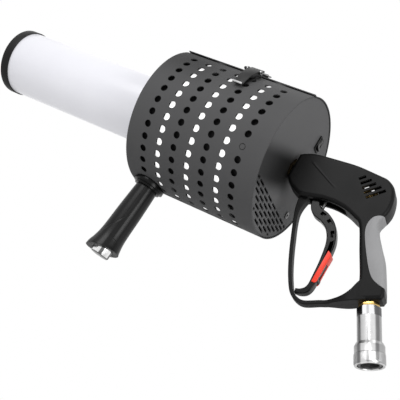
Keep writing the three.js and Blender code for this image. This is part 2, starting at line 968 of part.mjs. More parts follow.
const rearShape = discShape();
rearShape.holes.push(
  rectanglePath(rockerBodyWide + 2 * seatGap, rockerBodyTall + 2 * seatGap, rockerAside, rockerUp),
  circlePath(socketDiameter / 2 + seatGap, tubeFacets, socketAside, -socketDown),
  circlePath(nippleDiameter / 2 + seatGap, tubeFacets),
);
const rearPlate = cut(
  joined(plate(rearShape, plateInner, plateOuter), rimRing(plateInner - plateRim, plateOuter)),
  ...ventSlots().map(([wide, tall, aside, up]) =>
    block(2 * plateSheet, wide, tall, (plateInner + plateOuter) / 2, aside, up),
  ),
);
addPiece(barrelAxis, "rear_plate", rearPlate, plateCoat);

// Three screws hold the barrel's collar to the front plate.
const collarFront = frontInner + seatGap;
const collarInner = tubeRadius + seatGap;
const screwCircle = collarInner + (collarWall + collarFlange) / 2;
function collarScrewRod(i, from, to, radius) {
  const angle = (i * fullTurn) / collarScrews;
  const place = [screwCircle * Math.sin(angle), screwCircle * Math.cos(angle)];
  return rodX(from, to, radius, boltFacets).translate(0, ...place);
}
const collarScrewIndex = [...Array(collarScrews).keys()];
const collarHoles = collarScrewIndex.map((i) =>
  collarScrewRod(i, drumFront - overrun, collarFront + overrun, collarScrew / 2 + seatGap),
);
const frontShape = discShape();
frontShape.holes.push(circlePath(tubeRadius + seatGap, barrelFacets));
const frontPlate = cut(
  joined(plate(frontShape, frontOuter, frontInner), rimRing(frontOuter, frontInner + plateRim)),
  ...collarHoles,
);
addPiece(barrelAxis, "front_plate", frontPlate, plateCoat);
const collar = cut(
  turnedX(
    [
      [collarFront, collarInner],
      [collarFront + collarLength, collarInner],
      [collarFront + collarLength, collarInner + collarWall],
      [collarFront + collarFlangeSheet, collarInner + collarWall],
      [collarFront + collarFlangeSheet, collarInner + collarFlange],
      [collarFront, collarInner + collarFlange],
      [collarFront, collarInner],
    ],
    barrelFacets,
  ),
  ...collarHoles,
);
addPiece(barrelAxis, "barrel_collar", collar, blackPlastic);
collarScrewIndex.forEach((i) => {
  const headBack = frontOuter - seatGap;
  const tail = collarFront + collarFlangeSheet + collarScrewTail;
  const head = collarScrewRod(i, headBack - collarScrewHeadDepth, headBack, collarScrewHead / 2);
  const shank = collarScrewRod(i, headBack - collarScrewHeadDepth / 2, tail, collarScrew / 2);
  addPiece(barrelAxis, "collar_screw_" + (i + 1), joined(head, shank), steel);
});

// Barrel tube with its muzzle ring; the breech disc stops the confetti
addPiece(
  barrelAxis,
  "barrel_tube",
  turnedX(ringProfile(tubeFront, tubeRear, tubeRadius - tubeWall, tubeRadius), barrelFacets),
  opalAcrylic,
);
const muzzleFront = tubeFront - muzzleLip;
const muzzleRing = turnedX(
  [
    [muzzleFront, tubeRadius - tubeWall],
    [tubeFront - seatGap, tubeRadius - tubeWall],
    [tubeFront - seatGap, tubeRadius + seatGap],
    [muzzleFront + muzzleLength, tubeRadius + seatGap],
    [muzzleFront + muzzleLength, muzzleRadius],
    [muzzleFront + muzzleLip / 2, muzzleRadius],
    [muzzleFront, muzzleRadius - muzzleLip / 2],
    [muzzleFront, tubeRadius - tubeWall],
  ],
  barrelFacets,
);
addPiece(barrelAxis, "muzzle_ring", muzzleRing, blackPlastic);
const pipeRadius = pipeDiameter / 2;
const breechRear = tubeRear - seatGap;
const breechFront = breechRear - breechSheet;
const breechOuter = tubeRadius - tubeWall - seatGap;
addPiece(
  barrelAxis,
  "breech_disc",
  turnedX(ringProfile(breechFront, breechRear, pipeRadius + seatGap, breechOuter), barrelFacets),
  blackPlastic,
);

// Gas line from the gun's nose to the breech
const nippleRadius = nippleDiameter / 2;
const valveFront = -noseReach + shellWall + seatGap;
const nippleRear = valveFront + nippleInGun;
const nippleFront = plateInner - nippleInDrum;
addPiece(
  barrelAxis,
  "outlet_nipple",
  turnedX(ringProfile(nippleFront, nippleRear, nippleBore / 2, nippleRadius), tubeFacets),
  brass,
);
function lockNut(from, to) {
  const thread = rodX(from - overrun, to + overrun, nippleRadius + seatGap);
  return cut(rodX(from, to, hexRadius(nutAcross), hexFacets), thread);
}
addPiece(barrelAxis, "outer_lock_nut", lockNut(plateOuter + seatGap, -noseReach - seatGap), brass);
const innerNutFront = plateInner - seatGap - innerNut;
addPiece(barrelAxis, "inner_lock_nut", lockNut(innerNutFront, plateInner - seatGap), brass);
const pipeRear = innerNutFront - seatGap;
const socketFloor = nippleFront - seatGap;
const socketRadius = nippleRadius + seatGap;
const gasPipe = turnedX(
  [
    [breechFront - nozzleAhead, pipeBore / 2],
    [socketFloor, pipeBore / 2],
    [socketFloor, socketRadius],
    [pipeRear, socketRadius],
    [pipeRear, socketRadius + pipeSocketWall],
    [socketFloor - pipeSocketWall, socketRadius + pipeSocketWall],
    [socketFloor - 2 * pipeSocketWall, pipeRadius],
    [breechFront - nozzleAhead, pipeRadius],
    [breechFront - nozzleAhead, pipeBore / 2],
  ],
  tubeFacets,
);
addPiece(barrelAxis, "gas_pipe", gasPipe, steel);

// Inner drum with three lit strips, each behind one column of holes
const carrierFront = frontInner + seatGap;
const carrierRear = plateInner - seatGap;
const carrier = turnedX([
  [carrierFront, carrierRadius - carrierWall],
  [carrierRear, carrierRadius - carrierWall],
  [carrierRear, carrierRadius + carrierRim],
  [carrierRear - carrierWall, carrierRadius + carrierRim],
  [carrierRear - carrierWall, carrierRadius],
  [carrierFront + carrierWall, carrierRadius],
  [carrierFront + carrierWall, carrierRadius + carrierRim],
  [carrierFront, carrierRadius + carrierRim],
  [carrierFront, carrierRadius - carrierWall],
]);
addPiece(barrelAxis, "led_carrier", carrier, blackPlastic);
litColumns.forEach((column, i) => {
  const middle = drumFront + frontMargin + column * holePitch;
  const low = carrierRadius + seatGap;
  const strip = ringProfile(middle - stripWidth / 2, middle + stripWidth / 2, low, low + stripThickness);
  addPiece(barrelAxis, "led_strip_" + (i + 1), turnedX(strip), whiteStrip);
});

// Battery, controller, switch and charging socket on the rear plate
const boardRear = plateInner - seatGap;
const battery = block(
  batteryDeep,
  batteryWide,
  batteryTall,
  boardRear - batteryDeep / 2,
  batteryAside,
  batteryUp,
);
addPiece(barrelAxis, "battery_pack", battery, glossPlastic);
const controller = block(
  controllerDeep,
  controllerWide,
  controllerTall,
  boardRear - controllerDeep / 2,
  controllerAside,
  0,
);
addPiece(barrelAxis, "led_controller", controller, blackPlastic);

const rimBack = plateOuter + seatGap;
const rimFace = rimBack + rockerRim;
const rockerBlock = (wide, tall, from, to) =>
  block(to - from, wide, tall, (from + to) / 2, rockerAside, rockerUp);
const rockerBezel = cut(
  joined(
    rockerBlock(rockerWide, rockerTall, rimBack, rimFace),
    rockerBlock(rockerBodyWide, rockerBodyTall, rimFace - rockerDepth, rimFace - rockerRim / 2),
  ),
  rockerBlock(
    rockerPocketWide + 2 * rockerSlack,
    rockerPocketTall + 2 * rockerSlack,
    rimFace - rockerPocketDepth,
    rimFace + overrun,
  ),
);
addPiece(barrelAxis, "rocker_bezel", rockerBezel, blackPlastic);
const rockerButton = slab(
  rockerButtonShares.map(([out, up]) => [
    out * (out < 0 ? rockerPocketDepth - rockerPivotDepth : rockerProud + rockerPivotDepth),
    (up * rockerPocketTall) / 2,
  ]),
  rockerPocketWide / 2,
)
  .rotateY(-rockerTilt)
  .translate(rimFace - rockerPivotDepth, rockerAside, rockerUp);
addPiece(barrelAxis, "rocker_button", rockerButton, glossPlastic);
const socketFace = rimBack + socketRim;
const chargingSocket = cut(
  joined(
    rodX(rimBack, socketFace, socketRimDiameter / 2),
    rodX(socketFace - socketDepth, rimBack + socketRim / 2, socketDiameter / 2),
  ),
  rodX(socketFace - socketHoleDepth, socketFace + overrun, socketHole / 2),
);
addPiece(
  barrelAxis,
  "charging_socket",
  chargingSocket.translate([0, socketAside, -socketDown]),
  darkSteel,
);

// Gun outlines in the X-Z plane through the barrel's axis
const bodyPoint = (rise) => ([along, up]) => [-noseReach + along * bodyLength, up * rise];
const handPoint = (down, across) => ([s, t]) => {
  const along = s * down;
  const back = t * across;
  const sine = Math.sin(gripRake);
  const cosine = Math.cos(gripRake);
  return [along * sine + back * cosine, back * sine - along * cosine - axisHeight];
};
const gunOutline = [
  ...bodyTopShares.map(bodyPoint(bodyRise)),
  ...gripRearShares.map(handPoint(gripDown, gripRear)),
  ...gripFrontShares.map(handPoint(gripDown, gripFront)),
  ...bodyUnderShares.map(bodyPoint(bodyDrop)),
];
const padOutline = padShares.map(handPoint(gripDown, gripRear));
const guardLine = guardShares.map(handPoint(guardDown, guardReach));
const raked = (geometry) => geometry.rotateY(-gripRake).translate(0, 0, -axisHeight);
const rakedRod = (from, to, radius, sides = tubeFacets) => raked(rod(-to, -from, radius, sides));

// The pad wraps round the back of the grip; the shells are recessed under it.
const wide = gunHalf + overrun;
const outer = solid(slab(gunOutline, gunHalf, gunRound, gunRoundSteps));
const core = (depth) => slab(inset(gunOutline, depth), gunHalf - depth, gunRound - depth);
const padCore = solid(core(padThickness));
const pad = outer.intersect(solid(slab(inset(padOutline, seatGap), wide))).subtract(padCore);
addPiece(barrelAxis, "grip_pad", pad, greyRubber);
const padRecess = cut(slab(padOutline, wide), core(padThickness + seatGap));
const hollow = inset(gunOutline, shellWall);
const padBack = cut(
  slab(padBackShares.map(handPoint(gripDown, gripRear)), wide),
  slab(inset(gunOutline, padThickness + shellWall), wide + overrun),
);
const cavity = joined(
  cut(slab(hollow, gunHalf - shellWall), slab(inset(padOutline, -shellWall), wide)),
  cut(slab(hollow, gunHalf - shellWall - padThickness), padBack),
);
const guardBand = band(guardLine, guardThicknessShares.map((share) => share * guardThickness));
const guard = solid(slab(guardBand, guardHalf, guardRound));

function sideSlot(length, i) {
  const step = i * sideSlotPitch * Math.sin(sideSlotSlope);
  return block(length, 2 * wide, sideSlotWidth, length / 2, 0, 0)
    .rotateY(-sideSlotSlope)
    .translate(-sideSlotAhead + step, 0, sideSlotUp - step);
}

const screwPlaces = [
  ...bodyScrewShares.map(bodyPoint(bodyRise)),
  handPoint(gripDown, gripRear)(gripScrewShares),
];
const screwBore = screwDiameter / 2 + seatGap;
const headFloor = gunHalf - screwSink - screwHeadDepth;
const pivot = [-pivotAhead, -pivotDrop];
const bossHalf = gunHalf - shellWall + seatGap;
const screwBosses = screwPlaces.map(([x, z]) => rodY(x, z, -bossHalf, bossHalf, screwBoss / 2));
const pivotBosses = [-1, 1].map((side) => {
  const ends = [side * (mouthHalf - seatGap), side * bossHalf];
  return rodY(...pivot, Math.min(...ends), Math.max(...ends), pinBoss / 2);
});
const mouth = block(
  mouthLength,
  2 * mouthHalf,
  bodyDrop,
  -mouthAhead + mouthLength / 2,
  0,
  -bodyDrop,
);
const shells = cut(
  joined(cut(outer.add(guard), cavity), ...screwBosses, ...pivotBosses),
  padRecess,
  mouth,
  rodX(-noseReach - overrun, valveFront, nippleRadius + seatGap),
  rakedRod(gripDown - overrun, gripDown + overrun, inletUpper / 2 + seatGap),
  rodY(...pivot, -pinHalf - seatGap, pinHalf + seatGap, pinDiameter / 2 + seatGap),
  ...sideSlotLengths.map(sideSlot),
  ...screwPlaces.map(([x, z]) => rodY(x, z, -screwTail, wide, screwBore)),
  ...screwPlaces.map(([x, z]) => rodY(x, z, headFloor, wide, screwHeadDiameter / 2 + seatGap)),
);
const halfSpace = (side) => {
  const size = 2 * noseReach + 2 * guardReach;
  return solid(block(size, size, size, -noseReach / 2, (side * (size + partingGap)) / 2, -axisHeight));
};
addPiece(barrelAxis, "gun_left_shell", shells.intersect(halfSpace(-1)), blackPlastic);
addPiece(barrelAxis, "gun_right_shell", shells.intersect(halfSpace(1)), blackPlastic);
screwPlaces.forEach(([x, z], i) => {
  const low = headFloor + seatGap;
  const head = rodY(x, z, low, low + screwHeadDepth, screwHeadDiameter / 2);
  const shank = rodY(x, z, -screwTail + seatGap, low + screwHeadDepth / 2, screwDiameter / 2, bitFacets);
  addPiece(barrelAxis, "shell_screw_" + (i + 1), joined(head, shank), steel);
});

// Trigger: a band about its pivot, channelled at the back for the red lock
const triggerLine = triggerShares.map(([out, down]) => [
  pivot[0] + out * triggerSweep,
  pivot[1] + down * triggerDown,
]);
const triggerThickness = triggerDepthShares.map((share) => share * triggerDepth);
const channelShift = (triggerDepth - channelDepth + seatGap) / 2;
const channelLine = shifted(triggerLine, -channelShift - seatGap).slice(channelFirstStep, channelLastStep);
const channelBand = band(channelLine, channelLine.map(() => channelDepth + seatGap));
const lockPivot = [pivot[0] + lockOut, pivot[1] - lockDown];
const trigger = cut(
  joined(
    slab(band(triggerLine, triggerThickness), triggerHalf, triggerRound),
    rodY(...pivot, -triggerHalf, triggerHalf, triggerHead / 2, tubeFacets),
    rodY(...triggerLine[shoulderStep], -triggerHalf, triggerHalf, shoulder / 2, tubeFacets),
    rodY(...lockPivot, -triggerHalf, triggerHalf, lockEar / 2),
  ),
  slab(channelBand, channelHalf),
  rodY(...lockPivot, -channelHalf, channelHalf, lockEar / 2 + seatGap),
  rodY(...pivot, -wide, wide, pinDiameter / 2 + seatGap),
  rodY(...lockPivot, -wide, wide, lockPinDiameter / 2 + seatGap),
);
addPiece(barrelAxis, "trigger", trigger, glossPlastic);
addPiece(barrelAxis, "trigger_pin", rodY(...pivot, -pinHalf, pinHalf, pinDiameter / 2), steel);
const lockBar = slab(
  [
    [0, 0],
    [lockRearDepth, 0],
    [lockRearDepth, lockLength],
    [-lockFrontDepth, lockLength],
    [-lockFrontDepth, 0],
  ],
  lockHalf,
).translate(lockPivot[0], 0, lockPivot[1]);
const lock = cut(
  joined(lockBar, rodY(...lockPivot, -lockHalf, lockHalf, lockFrontDepth)),
  rodY(...lockPivot, -wide, wide, lockPinDiameter / 2 + seatGap),
);
addPiece(barrelAxis, "safety_catch", lock, redPlastic);
addPiece(barrelAxis, "safety_pin", rodY(...lockPivot, -triggerHalf, triggerHalf, lockPinDiameter / 2), steel);

// Where the raked gas line meets the barrel's axis and where it enters the valve
const lineMeet = -axisHeight / Math.cos(gripRake);
const lineStart = lineMeet + inletBossDown - lineEntry;
const inletRear = (axisHeight + inletRise) * Math.tan(gripRake);

// Valve: gas enters behind the seat, the trigger lifts the stem and lets it out to the nose.
const stemRod = (from, to, radius, sides = tubeFacets) =>
  rod(from, to, radius, sides).translate(-stemAhead, 0, 0);
const valveTop = chamberTop + seatGap;
const valve = cut(
  joined(
    rodX(valveFront, -valveRear, valveDiameter / 2),
    stemRod(-stemGuideDrop, 0, stemGuide / 2),
    stemRod(0, chamberTop, chamberBoss / 2),
    rakedRod(lineMeet, lineMeet + inletBossDown, inletBoss / 2),
  ),
  rodX(valveFront - overrun, nippleRear + seatGap, nippleRadius + seatGap),
  rodX(nippleRear, -stemAhead, gasBore / 2, bitFacets).translate(0, 0, -outletDrop),
  rodX(-stemAhead, -inletRear + inletBore / 2, gasBore / 2, bitFacets).translate(0, 0, inletRise),
  stemRod(seatTop, chamberTop + overrun, chamberDiameter / 2),
  stemRod(-lowerRoomDepth, seatTop + seatGap, seatBore / 2, boltFacets),
  stemRod(-lowerRoomDepth, seatTop - seatThickness, lowerRoom / 2, boltFacets),
  stemRod(-stemGuideDrop - overrun, -lowerRoomDepth + seatGap, stemDiameter / 2 + seatGap, boltFacets),
  rakedRod(lineMeet - inletBoreUp, lineStart, inletBore / 2),
  rakedRod(lineStart - seatGap, lineStart + wide, lineOuter / 2 + seatGap),
);
addPiece(barrelAxis, "valve_body", valve, brass);

const headTop = seatTop + seatGap + headLength;
const stem = joined(
  turned(
    [
      [-stemTip, 0],
      [-stemTip, stemTipDiameter / 2],
      [-stemTip + stemTipDiameter / 2, stemDiameter / 2],
      [headTop - headLength / 2, stemDiameter / 2],
      [headTop - headLength / 2, 0],
    ],
    boltFacets,
  ),
  rod(seatTop + seatGap, headTop, headDiameter / 2),
  rod(headTop - headLength / 2, headTop + nubLength, nubDiameter / 2),
);
addPiece(barrelAxis, "valve_stem", stem.translate([-stemAhead, 0, 0]), steel);
const capBottom = valveTop - capThreadLength;
const springTop = valveTop + capHollowTop;
const cap = cut(
  joined(
    stemRod(valveTop, valveTop + capHeadLength, hexRadius(capAcross), hexFacets),
    stemRod(capBottom, valveTop + capHeadLength / 2, chamberDiameter / 2 - seatGap),
  ),
  stemRod(capBottom - overrun, springTop, capHollow / 2),
);
addPiece(barrelAxis, "valve_cap", cap, brass);
const valveSpring = coil(
  headTop + springGap,
  springTop - springGap,
  valveSpringMean,
  valveSpringWire,
  valveSpringTurns,
);
addPiece(barrelAxis, "valve_spring", valveSpring.translate(-stemAhead, 0, 0), steel);

// From here on everything is turned about the hand's axis: lengths run down from the mid hand.
const down = (profile) => profile.map(([s, radius]) => [-s, radius]);
const downRod = (from, to, radius, sides = tubeFacets) => rod(-to, -from, radius, sides);
const lineEnd = gripDown - shellWall - seatGap;
const nippleTop = gripDown + seatGap - inletUpperLength;
const gasLine = down([
  [lineStart, lineBore / 2],
  [nippleTop - seatGap, lineBore / 2],
  [nippleTop - seatGap, inletUpper / 2 + seatGap],
  [lineEnd, inletUpper / 2 + seatGap],
  [lineEnd, lineSocket / 2],
  [lineSocketTop, lineSocket / 2],
  [lineSocketTop - (lineSocket - lineOuter) / 2, lineOuter / 2],
  [lineStart, lineOuter / 2],
  [lineStart, lineBore / 2],
]);
addPiece(handAxis, "inlet_tube", turned(gasLine, tubeFacets), brass);
const hexTop = gripDown + seatGap;
const hexBottom = hexTop + inletHexLength;
const inletEnd = hexBottom + inletLowerLength;
const inletNipple = cut(
  joined(
    downRod(nippleTop, hexTop + inletHexLength / 2, inletUpper / 2),
    downRod(hexTop, hexBottom, hexRadius(inletAcross), hexFacets),
    downRod(hexBottom - inletHexLength / 2, inletEnd, inletLower / 2),
  ),
  downRod(nippleTop - overrun, inletEnd + overrun, inletBore / 2),
);
addPiece(handAxis, "inlet_nipple", inletNipple, brass);

// Quick coupler: body, sliding sleeve on its spring, snap ring, and the poppet that shuts the empty socket
const couplerTop = hexBottom + seatGap;
const couplerEnd = couplerTop + couplerLength;
const neckTop = couplerEnd - couplerNeckLength;
const cavityTop = inletEnd + seatGap;
const socketTop = couplerEnd - couplerSocketDepth;
const cavityEnd = socketTop - couplerSeatLength;
const ringTop = couplerEnd - ringBack - ringThickness;
const neckRadius = couplerNeck / 2;
const couplerProfile = down([
  [couplerTop, inletLower / 2 + seatGap],
  [cavityTop, inletLower / 2 + seatGap],
  [cavityTop, couplerCavity / 2],
  [cavityEnd, couplerCavity / 2],
  [cavityEnd, couplerSeatBore / 2],
  [socketTop, couplerSeatBore / 2],
  [socketTop, couplerSocket / 2],
  [couplerEnd - mouthChamfer, couplerSocket / 2],
  [couplerEnd, couplerMouth / 2],
  [couplerEnd, neckRadius],
  [ringTop + ringThickness + seatGap, neckRadius],
  [ringTop + ringThickness + seatGap, ringGroove / 2],
  [ringTop - seatGap, ringGroove / 2],
  [ringTop - seatGap, neckRadius],
  [neckTop, neckRadius],
  [neckTop, couplerDiameter / 2],
  [couplerTop, couplerDiameter / 2],
  [couplerTop, inletLower / 2 + seatGap],
]);
const couplerHexEnd = couplerTop + couplerHexLength;
const hexRing = cut(
  downRod(couplerTop - overrun, couplerHexEnd, couplerDiameter),
  downRod(couplerTop - 2 * overrun, couplerHexEnd + overrun, hexRadius(couplerFlats), hexFacets),
);
addPiece(handAxis, "coupler_body", cut(turned(couplerProfile, roundFacets), hexRing), steel);
const sleeveTop = neckTop - sleeveOverBody;
const sleeveEnd = couplerEnd + sleeveProud;
const springFloor = neckTop + sleeveSpringRoom;
const sleeveInner = (couplerDiameter + 2 * seatGap) / 2;
const recessTop = ringTop - seatGap;
const sleeve = down([
  [sleeveTop, sleeveInner],
  [neckTop, sleeveInner],
  [neckTop, sleeveRoomDiameter / 2],
  [springFloor, sleeveRoomDiameter / 2],
  [springFloor, neckRadius + seatGap],
  [recessTop, neckRadius + seatGap],
  [recessTop, sleeveRecess / 2],
  [sleeveEnd, sleeveRecess / 2],
  [sleeveEnd, sleeveWaist / 2],
  [sleeveEnd - sleeveBandEnd, sleeveDiameter / 2],
  [sleeveEnd - sleeveBandEnd - sleeveBand, sleeveDiameter / 2],
  [sleeveEnd - sleeveBandEnd - sleeveBand, sleeveWaist / 2],
  [sleeveTop + sleeveShoulder, sleeveWaist / 2],
  [sleeveTop, sleeveRear / 2],
  [sleeveTop, sleeveInner],
]);
addPiece(handAxis, "coupler_sleeve", turned(sleeve, roundFacets), steel);
addPiece(
  handAxis,
  "coupler_spring",
  coil(-springFloor + springGap, -neckTop - springGap, sleeveSpringMean, sleeveSpringWire, sleeveSpringTurns),
  steel,
);
const snapRing = cut(
  turned(ringProfile(-ringTop - ringThickness, -ringTop, ringInner / 2, ringOuter / 2), roundFacets),
  block(ringSplit, ringOuter, 2 * ringThickness, 0, ringOuter / 2, -ringTop - ringThickness / 2),
);
addPiece(handAxis, "coupler_snap_ring", snapRing, darkSteel);
const poppetFace = cavityEnd - seatGap;
const poppetBack = poppetFace - poppetDiscLength;
const poppet = down([
  [poppetBack - poppetStemLength, 0],
  [poppetBack - poppetStemLength, poppetStem / 2],
  [poppetBack, poppetStem / 2],
  [poppetBack, poppetDisc / 2],
  [poppetFace, poppetDisc / 2],
  [poppetFace, poppetNose / 2],
  [poppetFace + poppetNoseLength, poppetNose / 2],
  [poppetFace + poppetNoseLength, 0],
]);
addPiece(handAxis, "coupler_poppet", turned(poppet, tubeFacets), brass);
addPiece(
  handAxis,
  "poppet_spring",
  coil(-poppetBack + springGap, -inletEnd - springGap, poppetSpringMean, poppetSpringWire, poppetSpringTurns),
  steel,
);

// Fore grip: a turned handle with a slanted foot, bolted through a hole in the first column
const foreAxis = new THREE.Group();
const sheetDown = drumRadius * Math.cos(facetAngle / 2);
const foreAhead = drumFront + frontMargin;
foreAxis.position.set(foreAhead, 0, -sheetDown);
foreAxis.rotation.y = foreRake;
barrelAxis.add(foreAxis);
const drumCut = rodX(-drumLength, drumLength, drumRadius + seatGap, drumFacets)
  .translate(0, 0, sheetDown)
  .rotateY(-foreRake);
const saddle = cut(
  joined(
    downRod(-saddleHeight, saddleFlange, saddleDiameter / 2, roundFacets),
    downRod(0, saddleHeight, saddleStep / 2, roundFacets),
  ),
  drumCut,
  downRod(-overrun, saddleHeight + overrun, foreBolt / 2 + seatGap, boltFacets),
);
addPiece(foreAxis, "foregrip_saddle", saddle, glossPlastic);
const foreStart = saddleHeight + seatGap;
const foreCapEnd = foreLength + foreCapProud;
const waistDown = foreStart + foreWaistShare * (foreLength - foreStart);
const foreProfile = [
  [foreStart, 0],
  [foreStart, foreTop / 2],
  [waistDown, foreWaist / 2],
  ...foreShares.map(([length, flare]) => [
    foreLength * length,
    (foreWaist + flare * (foreFoot - foreWaist)) / 2,
  ]),
  [foreLength + overrun, foreFoot / 2],
  [foreLength + overrun, 0],
];
const footHeight = foreFoot + overrun;
const footCut = block(2 * foreFoot, 2 * foreFoot, footHeight, 0, 0, -footHeight / 2)
  .rotateY(-foreFootSlope)
  .translate(0, 0, -foreLength + (foreFoot / 2) * Math.tan(foreFootSlope));
const foreBody = cut(
  turned(down(foreProfile), roundFacets),
  footCut,
  downRod(foreLength - foreCapHidden, foreLength + overrun, foreCap / 2 + seatGap, roundFacets),
  downRod(0, foreBoltDown + seatGap, foreBolt / 2 + seatGap, boltFacets),
);
addPiece(foreAxis, "foregrip_body", foreBody, glossPlastic);
addPiece(
  foreAxis,
  "foregrip_end_cap",
  downRod(foreLength - foreCapHidden + seatGap, foreCapEnd, foreCap / 2, roundFacets),
  steel,
);
const boltTop = -sheet - 2 * seatGap;
addPiece(
  foreAxis,
  "foregrip_bolt",
  joined(
    downRod(boltTop - foreBoltHeadDepth, boltTop, hexRadius(foreBoltHead), hexFacets),
    downRod(boltTop - foreBoltHeadDepth / 2, foreBoltDown, foreBolt / 2, boltFacets),
  ),
  steel,
);

export default blower;
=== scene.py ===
from math import copysign, cos, pi, radians, sin, sqrt

import bmesh
import bpy
from mathutils import Matrix, Vector


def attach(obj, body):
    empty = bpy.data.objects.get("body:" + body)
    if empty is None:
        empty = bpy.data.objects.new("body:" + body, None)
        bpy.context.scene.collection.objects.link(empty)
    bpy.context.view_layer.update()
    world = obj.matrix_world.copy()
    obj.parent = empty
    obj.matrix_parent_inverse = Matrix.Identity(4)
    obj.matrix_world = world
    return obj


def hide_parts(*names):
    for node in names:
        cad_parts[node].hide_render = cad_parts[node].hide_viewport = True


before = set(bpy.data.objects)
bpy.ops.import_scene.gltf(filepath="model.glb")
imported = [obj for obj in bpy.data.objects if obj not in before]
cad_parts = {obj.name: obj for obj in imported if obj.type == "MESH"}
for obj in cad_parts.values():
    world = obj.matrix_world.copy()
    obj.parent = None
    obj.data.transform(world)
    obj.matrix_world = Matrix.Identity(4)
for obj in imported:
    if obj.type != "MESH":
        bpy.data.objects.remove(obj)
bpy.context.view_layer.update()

# Perforated sleeve: one steel sheet, punched with seven columns of round holes, one of which is blanked
# off with a pressed groove, then rolled round the two end plates and powder coated. Its seam at the top
# has a raised lip and is drawn together by the toggle latch.
mm = 0.001
drum_front, drum_rear, drum_radius, axis_height = -351.3, -149.3, 99.6, 75.6
hole_radius, hole_pitch, front_margin = 4.9, 23.6, 28.2
hole_columns, hole_rows, first_row_turn, row_turn = 7, 27, 50, 10
sheet, seam_turn, seam_gap_turn, seam_lip = 1.3, 35, 0.86, 2.6
blank_column, blank_row, groove_wall, groove_width, groove_depth = 6, 6, 0.1, 1.7, 1.25
along_barrel = Matrix(((0, 0, 1, 0), (1, 0, 0, 0), (0, 1, 0, axis_height * mm), (0, 0, 0, 1)))


def chosen(first, *others):
    """Selects pieces and nothing else, the first one as the active one."""
    bpy.ops.object.select_all(action="DESELECT")
    for piece in (first, *others):
        piece.select_set(True)
    bpy.context.view_layer.objects.active = first


def edit(piece, action="SELECT"):
    """Opens one piece in edit mode, with all of it selected or nothing."""
    chosen(piece)
    bpy.ops.object.mode_set(mode="EDIT")
    bpy.ops.mesh.select_all(action=action)


def close(piece):
    """Merges doubles, turns the faces outwards and leaves edit mode."""
    bpy.ops.mesh.select_all(action="SELECT")
    bpy.ops.mesh.remove_doubles(threshold=0.01 * mm)
    bpy.ops.mesh.normals_make_consistent(inside=False)
    bpy.ops.object.mode_set(mode="OBJECT")
    return piece


def apply_modifier(piece, kind, **settings):
    """Adds a modifier and applies it."""
    modifier = piece.modifiers.new(kind.title(), kind)
    for name, value in settings.items():
        setattr(modifier, name, value)
    bpy.context.view_layer.objects.active = piece
    bpy.ops.object.modifier_apply(modifier=modifier.name)
    return piece


def rounded(piece, width, segments=2, angle=35):
    """Breaks a piece's sharp edges."""
    return apply_modifier(
        piece,
        "BEVEL",
        width=width * mm,
        segments=segments,
        limit_method="ANGLE",
        angle_limit=radians(angle),
        use_clamp_overlap=True,
        miter_outer="MITER_ARC",
    )


def fit(piece, name, finish, slot, body, *nodes, smooth=32):
    """Names a finished piece, gives it its finish and hangs it on its CAD body."""
    piece.name = piece.data.name = name
    piece.data.materials.clear()
    piece.data.materials.append(finish.material)
    chosen(piece)
    bpy.ops.object.shade_smooth_by_angle(angle=radians(smooth))
    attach(piece, body)
    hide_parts(*nodes)


class Value:
    """A socket of a finish; arithmetic on it adds the Math nodes."""

    def __init__(self, finish, socket):
        self.finish = finish
        self.socket = socket

    def __add__(self, other):
        return self.finish.maths("ADD", self, other)

    def __sub__(self, other):
        return self.finish.maths("SUBTRACT", self, other)

    def __rsub__(self, other):
        return self.finish.maths("SUBTRACT", other, self)

    def __mul__(self, other):
        return self.finish.maths("MULTIPLY", self, other)

    def __truediv__(self, other):
        return self.finish.maths("DIVIDE", self, other)

    def rise(self, low, high):
        """0 below low, 1 above high, and a smooth slope between them."""
        ends = {0: self, 1: low, 2: high, 3: 0.0, 4: 1.0}
        return self.finish.node("ShaderNodeMapRange", {"interpolation_type": "SMOOTHSTEP"}, ends)


class Finish:
    """A procedural material: one shader and the nodes that feed it."""

    def __init__(self, name, **constants):
        self.material = bpy.data.materials.new(name)
        self.material.use_nodes = True
        self.tree = self.material.node_tree
        self.shader = self.tree.nodes["Principled BSDF"]
        for socket, value in constants.items():
            self.shader.inputs[socket.replace("_", " ")].default_value = value
        self.place = self.node("ShaderNodeTexCoord", {}, {}, "Object")

    def node(self, kind, settings, values, output=0):
        made = self.tree.nodes.new(kind)
        for name, value in settings.items():
            setattr(made, name, value)
        for name, value in values.items():
            self.give(made.inputs[name], value)
        return Value(self, made.outputs[output])

    def give(self, socket, value):
        if isinstance(value, Value):
            self.tree.links.new(value.socket, socket)
        else:
            socket.default_value = value

    def feed(self, name, value):
        self.give(self.shader.inputs[name], value)

    def maths(self, operation, *values):
        return self.node("ShaderNodeMath", {"operation": operation}, dict(enumerate(values)))

    def noise(self, size, detail=2.0, place=None):
        values = {"Vector": place or self.place, "Scale": 1 / (size * mm), "Detail": detail}
        return self.node("ShaderNodeTexNoise", {}, values)

    def mixed(self, share, first, second):
        """The first colour at a share of 0, the second at 1."""
        return self.node("ShaderNodeMix", {"data_type": "RGBA"}, {0: share, 6: first, 7: second}, 2)

    def colour(self, share, first, second):
        self.feed("Base Color", self.mixed(share, first, second))

    def along(self, place=None):
        """The three coordinates of a place, in metres."""
        values = {"Vector": place or self.place}
        return [self.node("ShaderNodeSeparateXYZ", {}, values, axis) for axis in "XYZ"]

    def turned_to(self, matrix):
        """Object coordinates seen from a piece's own axes."""
        place = matrix.inverted()
        values = {"Vector": self.place, "Location": place.to_translation(), "Rotation": place.to_euler()}
        return self.node("ShaderNodeMapping", {"vector_type": "POINT"}, values)

    def bump(self, height, depth):
        """Relief of a depth in millimetres."""
        values = {"Height": height, "Distance": depth * mm, "Strength": 1.0}
        self.feed("Normal", self.node("ShaderNodeBump", {}, values))


